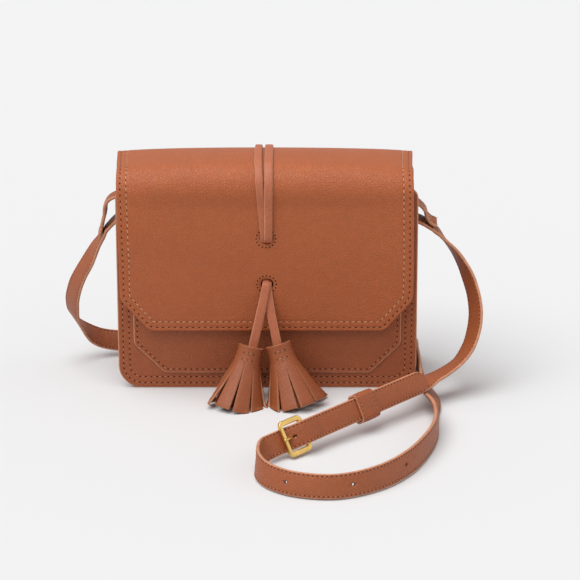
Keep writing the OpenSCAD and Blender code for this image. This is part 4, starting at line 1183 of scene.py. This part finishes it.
def tassel(name, place, lean, roll, angles, spreads, twists, curls, ends, stray):
    """Models one tassel hanging from its place, from the head down to the ends of its strips."""
    points, quads = [], []
    per = strip_columns
    count = len(angles)
    bounds_angle = [math.radians(a) for a in angles] + [math.radians(angles[0]) + 2 * math.pi]
    ring_angles = []
    for j in range(count):
        ring_angles += [bounds_angle[j] + (bounds_angle[j + 1] - bounds_angle[j]) * k / per
                        for k in range(per)]
    depths = [0, 0.0012, 0.003, 0.005, 0.007, 0.009, 0.011, 0.013, strip_slit]
    for t in depths:
        r, z, _ = cone(t)
        for a in ring_angles:
            points.append((r * math.sin(a), -r * math.cos(a), z))
    n = len(ring_angles)
    for i in range(len(depths) - 1):
        for k in range(n):
            a, b, c, d = ring_quad(i, k, n)
            quads.append((a, d, c, b))
    last = (len(depths) - 1) * n
    for j in range(count):
        half = (bounds_angle[j + 1] - bounds_angle[j]) / 2
        lengths = np.linspace(strip_slit, strip_end + ends[j], 11)
        strip = strip_points(bounds_angle[j] + half, half, 0, lengths,
                             math.radians(spreads[j]), math.radians(twists[j]), math.radians(curls[j]),
                             0.0059)
        base = len(points) - (per + 1)
        points += strip[per + 1:]
        for i in range(len(lengths) - 1):
            for k in range(per):
                top = [last + (j * per + k) % n, last + (j * per + k + 1) % n] if i == 0 else \
                    [base + i * (per + 1) + k, base + i * (per + 1) + k + 1]
                quads.append((top[0], base + (i + 1) * (per + 1) + k, base + (i + 1) * (per + 1) + k + 1,
                              top[1]))
    outer = solid_sheet("tassel_%s_outer" % name, points, quads, roll_thick, (tassel_skin, cut_side))
    core_points, core_quads = [], []
    turns = np.linspace(0, 2 * math.pi * 2.1, 72)
    for a in turns:
        r = 0.0064 - 0.0019 * a / (2 * math.pi) * 0.95
        for z in (-0.0008, -0.006, -0.014):
            core_points.append((r * math.sin(a + 0.6), -r * math.cos(a + 0.6), z))
    for i in range(len(turns) - 1):
        for k in range(2):
            core_quads.append((i * 3 + k, i * 3 + k + 1, (i + 1) * 3 + k + 1, (i + 1) * 3 + k))
    for j in range(7):
        a = 2 * math.pi * (j + 0.35) / 7
        for radius, spread in ((-0.0036, 15.0), (-0.0085, 6.0)) if j % 2 == 0 else ((-0.0036, 13.0),):
            strip = strip_points(a, 0.42 if radius > -0.006 else 0.9, radius,
                                 np.linspace(0.012, strip_end - 0.0025 - 0.001 * (j % 3), 8),
                                 math.radians(spread),
                                 math.radians(12 * ((j * 3) % 5 - 2) / 2), 0, 0.0042)
            base = len(core_points)
            core_points += strip
            for i in range(7):
                for k in range(per):
                    core_quads.append((base + i * (per + 1) + k, base + (i + 1) * (per + 1) + k,
                                       base + (i + 1) * (per + 1) + k + 1, base + i * (per + 1) + k + 1))
    inner = solid_sheet("tassel_%s_inner" % name, core_points, core_quads, 0.0015, (tassel_skin, cut_side),
                        0.0)
    stitch_rows = []
    for t in (0.0048, 0.0098):
        r, z = cone(t)[0] + 0.00002, cone(t)[1]
        arc = np.linspace(stray - 0.36, stray + 0.36, 7)
        stitch_rows.append((np.stack([r * np.sin(arc), -r * np.cos(arc), z + 0 * arc], -1),
                            np.stack([np.sin(arc), -np.cos(arc), 0 * arc], -1)))
    stitches = seam("tassel_%s_stitches" % name, stitch_rows, pitch=0.0050, stitch=0.0040,
                    thick=0.0006, hole=0.0016, slant=0.0)
    turn = Matrix.Translation(place) @ Matrix.Rotation(math.radians(roll), 4, "Y") @ Matrix.Rotation(
        math.radians(-lean), 4, "X")
    for piece in (outer, inner, stitches):
        piece.data.transform(turn)
        for vertex in piece.data.vertices:
            if vertex.co.z < off_floor:
                vertex.co.z = off_floor + (vertex.co.z - off_floor) * 0.02
        piece.data.update()
        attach(piece, "tassel_" + name)
    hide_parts("tassel_head_" + name, "tassel_fringe_" + name)


tassel("left", (-0.01116, -0.04999, 0.03881), 16.3, 14.5,
       angles=[-176, -134, -94, -51, -12, 27, 66, 100, 140],
       spreads=[17, 18, 18.5, 19, 19, 19.5, 21.5, 18, 16], twists=[8, -12, 24, 4, -5, 8, -16, -12, 6],
       curls=[4, 2, 4, 1, -1, -1, 2, -2, 2], ends=[-0.001, 0, 0.0008, 0, 0.0006, 0, -0.0006, 0, -0.001],
       stray=-0.12)
tassel("right", (0.00783, -0.0490, 0.04006), 15.7, -17.5,
       angles=[-178, -142, -104, -66, -28, 10, 47, 87, 130],
       spreads=[16, 16, 20.5, 19.5, 19.5, 20, 19.5, 19.5, 17], twists=[-6, 10, 0, 6, 4, -8, 12, 40, 8],
       curls=[2, -1, 1, 1, 1, 1, 0, 2, 3], ends=[0, -0.0006, 0.0004, 0.0006, 0, 0.0006, 0, 0.0006, -0.001],
       stray=0.10)

# ---- Ring tabs and rings --------------------------------------------------------------------
# A leather tab is sewn high on each side and turned round the upper bar of a brass wire ring.
# The left one has been pulled outward by the strap, and the gusset's free edge has followed it.

tab_line = [(99.4, 150.6), (99.4, 148.5), (99.4, 146), (99.4, 143.5), (99.4, 141), (99.4, 138),
            (100.1, 136.2),
            (101.9, 135.5), (103.7, 136.2), (104.4, 138), (104.1, 140.2), (103.0, 142.2), (101.8, 144.2),
            (101.3, 146), (101.2, 148.5), (101.2, 150.6)]


def tab_bulge(z):
    """How far the top of the left gusset stands out, at height z in millimetres."""
    return 6.2 * np.clip((np.asarray(z) - 136) / 15, 0, 1) ** 1.4


for side, name in ((1, "right"), (-1, "left")):
    rows = [[(side * (x + (tab_bulge(z) if side < 0 else 0)) / 1000, 0, z / 1000), (0, 1, 0)] for x,
            z in tab_line]
    middles, ways = smooth_route(rows, 4)
    piece = strap_piece("tab_%s_leather" % name, middles, ways, width=15, thick=1.8, ends=(0.0073, 0.0073),
                        skin=tan)
    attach(piece, "body")
    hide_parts("tab_" + name)
    arc = np.linspace(0.15, math.pi - 0.15, 15)
    y, z = np.append(5.4 * np.cos(arc), 5.34), np.append(143.6 + 5.4 * np.sin(arc), 144.4)
    x = np.interp(z, [140.2, 142.2, 144.2, 146, 148.5], [104.1, 103.0, 101.8, 101.3, 101.2]) + 0.88
    x = side * (x + (tab_bulge(z) if side < 0 else 0))
    row = seam("tab_%s_stitches" % name, [(np.stack([x, y, z], -1) / 1000,
                                           np.tile([side, 0, 0], (len(x), 1)))],
               pitch=0.0030, stitch=0.0021, thick=0.0005, hole=0.0010)
    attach(row, "body")
    coat("ring_" + name, brass)

# ---- Strap ends -----------------------------------------------------------------------------
# Each end of the strap is turned round the lower bar of its ring, folded back on its outer side
# and sewn down along its edges.

fold_lines = {
    "left": [(-121.2, 108.2), (-119.6, 112.6), (-118.3, 118), (-116.9, 123.4), (-116.2, 129.6),
             (-113.2, 134.2),
             (-108.2, 136.6), (-106, 134.6), (-103.9, 131), (-103.3, 127.5), (-105, 123.5), (-109.5, 118.6),
             (-113.4, 114.6), (-116.2, 111.4)],
    "right": [(122.2, 115.8), (117.8, 117.9), (114.6, 121.8), (113.2, 126.4), (109.0, 130.8),
              (105.5, 131.6),
              (101.5, 130.3), (100.6, 127.5), (101.5, 122.8), (105, 120.0), (108.9, 118.7), (113.2, 116.6),
              (118.4, 113.3)]}
for name, line in fold_lines.items():
    middles, ways = smooth_route([[(x / 1000, 0, z / 1000), (0, 1, 0.13 * within((127 - z) / 8))] for x,
                                  z in line], 8)
    fold = strap_piece("strap_fold_%s_leather" % name, middles, ways, ends=(0.0012, 0))
    fold_seams = strap_seams("strap_fold_%s_stitches" % name, middles, ways)
    for piece in (fold, fold_seams):
        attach(piece, "ring_" + name)
    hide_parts("strap_fold_" + name)

# ---- Buckle ---------------------------------------------------------------------------------
# A cast and polished brass frame with softened edges stands behind the strap's rounded tip.
# The round heel bar sits in the short strap's turned end, and the prong swings on it.

bar_wide, front_wide, bar_thick, frame_up, front_bar = 0.0037, 0.0028, 0.0025, 0.0108, 0.0006


def in_stack(points):
    """Takes rows of (along, back, up) to their places on the stack."""
    points = np.array(points, float)
    return (stack_place + points[:, :1] * stack_along + points[:, 1:2] * stack_back
            + points[:, 2:] * stack_up)


def swept(name, centres, across, over, section, material, closed=False, scales=None):
    """Sweeps a closed section along a line; across and over are its two axes at each place."""
    points, quads = [], []
    m, n = len(section), len(centres)
    for i in range(n):
        size = 1 if scales is None else scales[i]
        for a, b in section:
            points.append(np.array(centres[i]) + (np.array(across[i]) * a + np.array(over[i]) * b) * size)
    for i in range(n if closed else n - 1):
        for k in range(m):
            j = (i + 1) % n
            quads.append((i * m + k, i * m + (k + 1) % m, j * m + (k + 1) % m, j * m + k))
    if not closed:
        quads += [tuple(range(m)), tuple(range((n - 1) * m, n * m))[::-1]]
    piece = new_piece(name, points, (quads,), (material,))
    return face_outward(piece)


def rounded_section(wide, thick, radius, steps=5):
    """A rectangular section with rounded corners."""
    out = []
    for sx, sy, start in ((1, 1, 0), (-1, 1, 1), (-1, -1, 2), (1, -1, 3)):
        for k in range(steps + 1):
            a = (start + k / steps) * math.pi / 2
            out.append((sx * (wide / 2 - radius) + radius * math.cos(a),
                        sy * (thick / 2 - radius) + radius * math.sin(a)))
    return out


corner = 0.0024
path, outward = [], []
for a0, (px, pz) in enumerate(((heel_bar, frame_up), (front_bar, frame_up), (front_bar, -frame_up),
                               (heel_bar, -frame_up))):
    centre_x = px - corner if px == heel_bar else px + corner
    centre_z = pz - corner if pz > 0 else pz + corner
    for k in range(9):
        a = (a0 + k / 8) * math.pi / 2
        path.append((centre_x + corner * math.cos(a), 0, centre_z + corner * math.sin(a)))
        outward.append((math.cos(a), 0, math.sin(a)))
section = rounded_section(bar_wide, bar_thick, 0.0006)
frame_points = in_stack(path)
turned_out = [(v[0] * stack_along + v[2] * stack_up)
              * (1 - (1 - front_wide / bar_wide) * max(-v[0], 0) ** 2)
              for v in outward]
buckle = swept("buckle_brass", frame_points, turned_out, [stack_back] * len(path), section, brass,
               closed=True)
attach(buckle, "body")
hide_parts("buckle_frame")

# ---- Prong ----------------------------------------------------------------------------------
# A brass wire, curled round the heel bar and tapered to a rounded tip that rests on the front bar.

curl_radius = 0.0022
prong_line = [(heel_bar - curl_radius * math.cos(a), -curl_radius * math.sin(a), 0)
              for a in np.linspace(1.35 * math.pi, -0.12 * math.pi, 20)]
prong_line += [(0.0141, 0.0010, 0), (0.0120, 0.0011, 0), (0.0095, 0.0009, 0), (0.0075, 0.0003, 0),
               (0.0055, -0.0006, 0), (0.0035, -0.0015, 0), (0.0016, -0.0021, 0), (0, -0.0023, 0),
               (-0.0012, -0.00225, 0), (-0.0019, -0.0021, 0)]
prong_rows = np.array([[p, (0, 0, 1)] for p in prong_line])
prong_middles, _ = smooth_route(prong_rows, 3)
prong_ahead = unit(np.gradient(prong_middles, axis=0))
prong_over = np.cross(prong_ahead, [0, 0, 1])
run = run_along(prong_middles)
left = run[-1] - run
scales = np.interp(left, [0, 0.0002, 0.0005, 0.001, 0.003, 0.015, 0.02],
                   [0.25, 0.55, 0.76, 0.9, 1.0, 1.12, 1.0])
round_section = [(0.00092 * math.cos(a), 0.00078 * math.sin(a))
                 for a in np.linspace(0, 2 * math.pi, 17)[:-1]]
prong = swept("prong_brass", in_stack(prong_middles), [stack_up] * len(prong_middles),
              [o[0] * stack_along + o[1] * stack_back for o in prong_over], round_section, brass,
              scales=scales)
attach(prong, "prong")
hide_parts("buckle_prong")

# ---- Turned end of the short strap ----------------------------------------------------------
# Skived to half its thickness, slotted for the prong, turned round the heel bar and sewn together.

heel_line = [(0.0425, -0.0008), (0.0360, -0.0008), (0.0290, -0.0008), (0.0232, -0.0011), (0.0198, -0.0020),
             (0.0175, -0.0025), (0.01573, -0.00177), (0.0150, 0), (0.01573, 0.00177), (0.0175, 0.0025),
             (0.0198, 0.0020), (0.0232, 0.0011), (0.0290, 0.0008), (0.0360, 0.0008), (0.0425, 0.0008)]
middles, _ = smooth_route([[(a, b, 0), (0, 0, 1)] for a, b in heel_line], 6)
heel_middles, heel_ways = in_stack(middles), np.tile(stack_up, (len(middles), 1))
heel = strap_piece("strap_heel_leather", heel_middles, heel_ways, thick=1.6)
slot_cutter = basic_solid("cylinder", vertices=24, radius=0.0016, depth=0.02)
edit(slot_cutter)
pick("verts", lambda v: v.co.x > 0.0001)
bpy.ops.transform.translate(value=(0.0085, 0, 0))
close(slot_cutter)
slot_cutter.data.transform(Matrix.Translation(Vector(stack_point(0.0135)))
                           @ Matrix([stack_along, stack_up, -stack_back]).transposed().to_4x4())
cut_away(heel, slot_cutter)
box = dense([(0.0400, 0.0064), (0.0275, 0.0064), (0.0275, -0.0064), (0.0400, -0.0064), (0.0400, 0.0064)],
            0.002)
box_rows = [(in_stack([(a, back, u) for a, u in box]), np.tile(stack_back * out, (len(box), 1)))
            for back, out in ((0.0016, 1), (-0.0016, -1))]
heel_seam = seam("strap_heel_stitches", box_rows, pitch=0.0030, stitch=0.0020, thick=0.0005,
                 hole=0.0010)
for piece in (heel, heel_seam):
    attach(piece, "body")
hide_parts("strap_heel")

# ---- Keeper ---------------------------------------------------------------------------------
# A loop of thinner leather, stitched along both edges, which slides on the strap and holds its tip.

keeper_start, keeper_thick = 0.0650, 0.0017
loop_up, loop_front, loop_rear, loop_round = 0.0092, -0.0057, 0.0025, 0.0024
keeper_loop = rounded_section(2 * loop_up, loop_rear - loop_front, loop_round, 5)
keeper_loop = dense(np.array(keeper_loop + keeper_loop[:1]), 0.0016)[:-1]
keeper_middle, loop_half = (loop_front + loop_rear) / 2, 0.0041


def keeper_skew(u):
    """The loop sits a little askew: how far its edge lies forward at height u."""
    return 0.0007 * (u / loop_up) * 0.5


stations = np.array([0, 0.0005, 0.0013, 0.0022, 0.0031, 0.0045, 0.006, 0.008, 0.010, 0.0115, 0.0129, 0.0138,
                     0.0147,
                     0.0155, 0.016])
points, quads = [], []
for s in stations:
    near = min(s, stations[-1] - s)
    press = (0.00022 * math.exp(-((near - 0.0022) / 0.0006) ** 2)
             - 0.00025 * math.sin(s / stations[-1] * math.pi))
    for u, b in keeper_loop:
        way = unit(np.array([u / loop_up, b / loop_half]))
        points.append((keeper_start + s + keeper_skew(u), keeper_middle + b - way[1] * press,
                       u - way[0] * press))
count = len(keeper_loop)
for i in range(len(stations) - 1):
    for k in range(count):
        quads.append(ring_quad(i, k, count))
keeper_band = solid_sheet("keeper_leather", in_stack(points), quads, keeper_thick, (strap_skin, tan_edge),
                          0.0, 0.0004)
keeper_rows = []
for s in (0.0022, 0.0138):
    line, out = [], []
    for u, b in list(keeper_loop) + [keeper_loop[0]]:
        way = unit(np.array([u / loop_up, b / loop_half]))
        if abs(u) > loop_up - 0.0004:
            way = np.array([math.copysign(1, u), 0])
        elif abs(b) > loop_half - 0.0004:
            way = np.array([0, math.copysign(1, b)])
        way3 = way[1] * stack_back + way[0] * stack_up
        place = in_stack([(keeper_start + s + keeper_skew(u), keeper_middle + b, u)])[0]
        line.append(place + way3 * (keeper_thick / 2 - 0.0001))
        out.append(way3)
    keeper_rows.append((line, out))
keeper_seam = seam("keeper_stitches", keeper_rows, pitch=0.0029, stitch=0.0020, thick=0.0005,
                   hole=0.0011)
for piece in (keeper_band, keeper_seam):
    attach(piece, "keeper")
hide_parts("keeper")
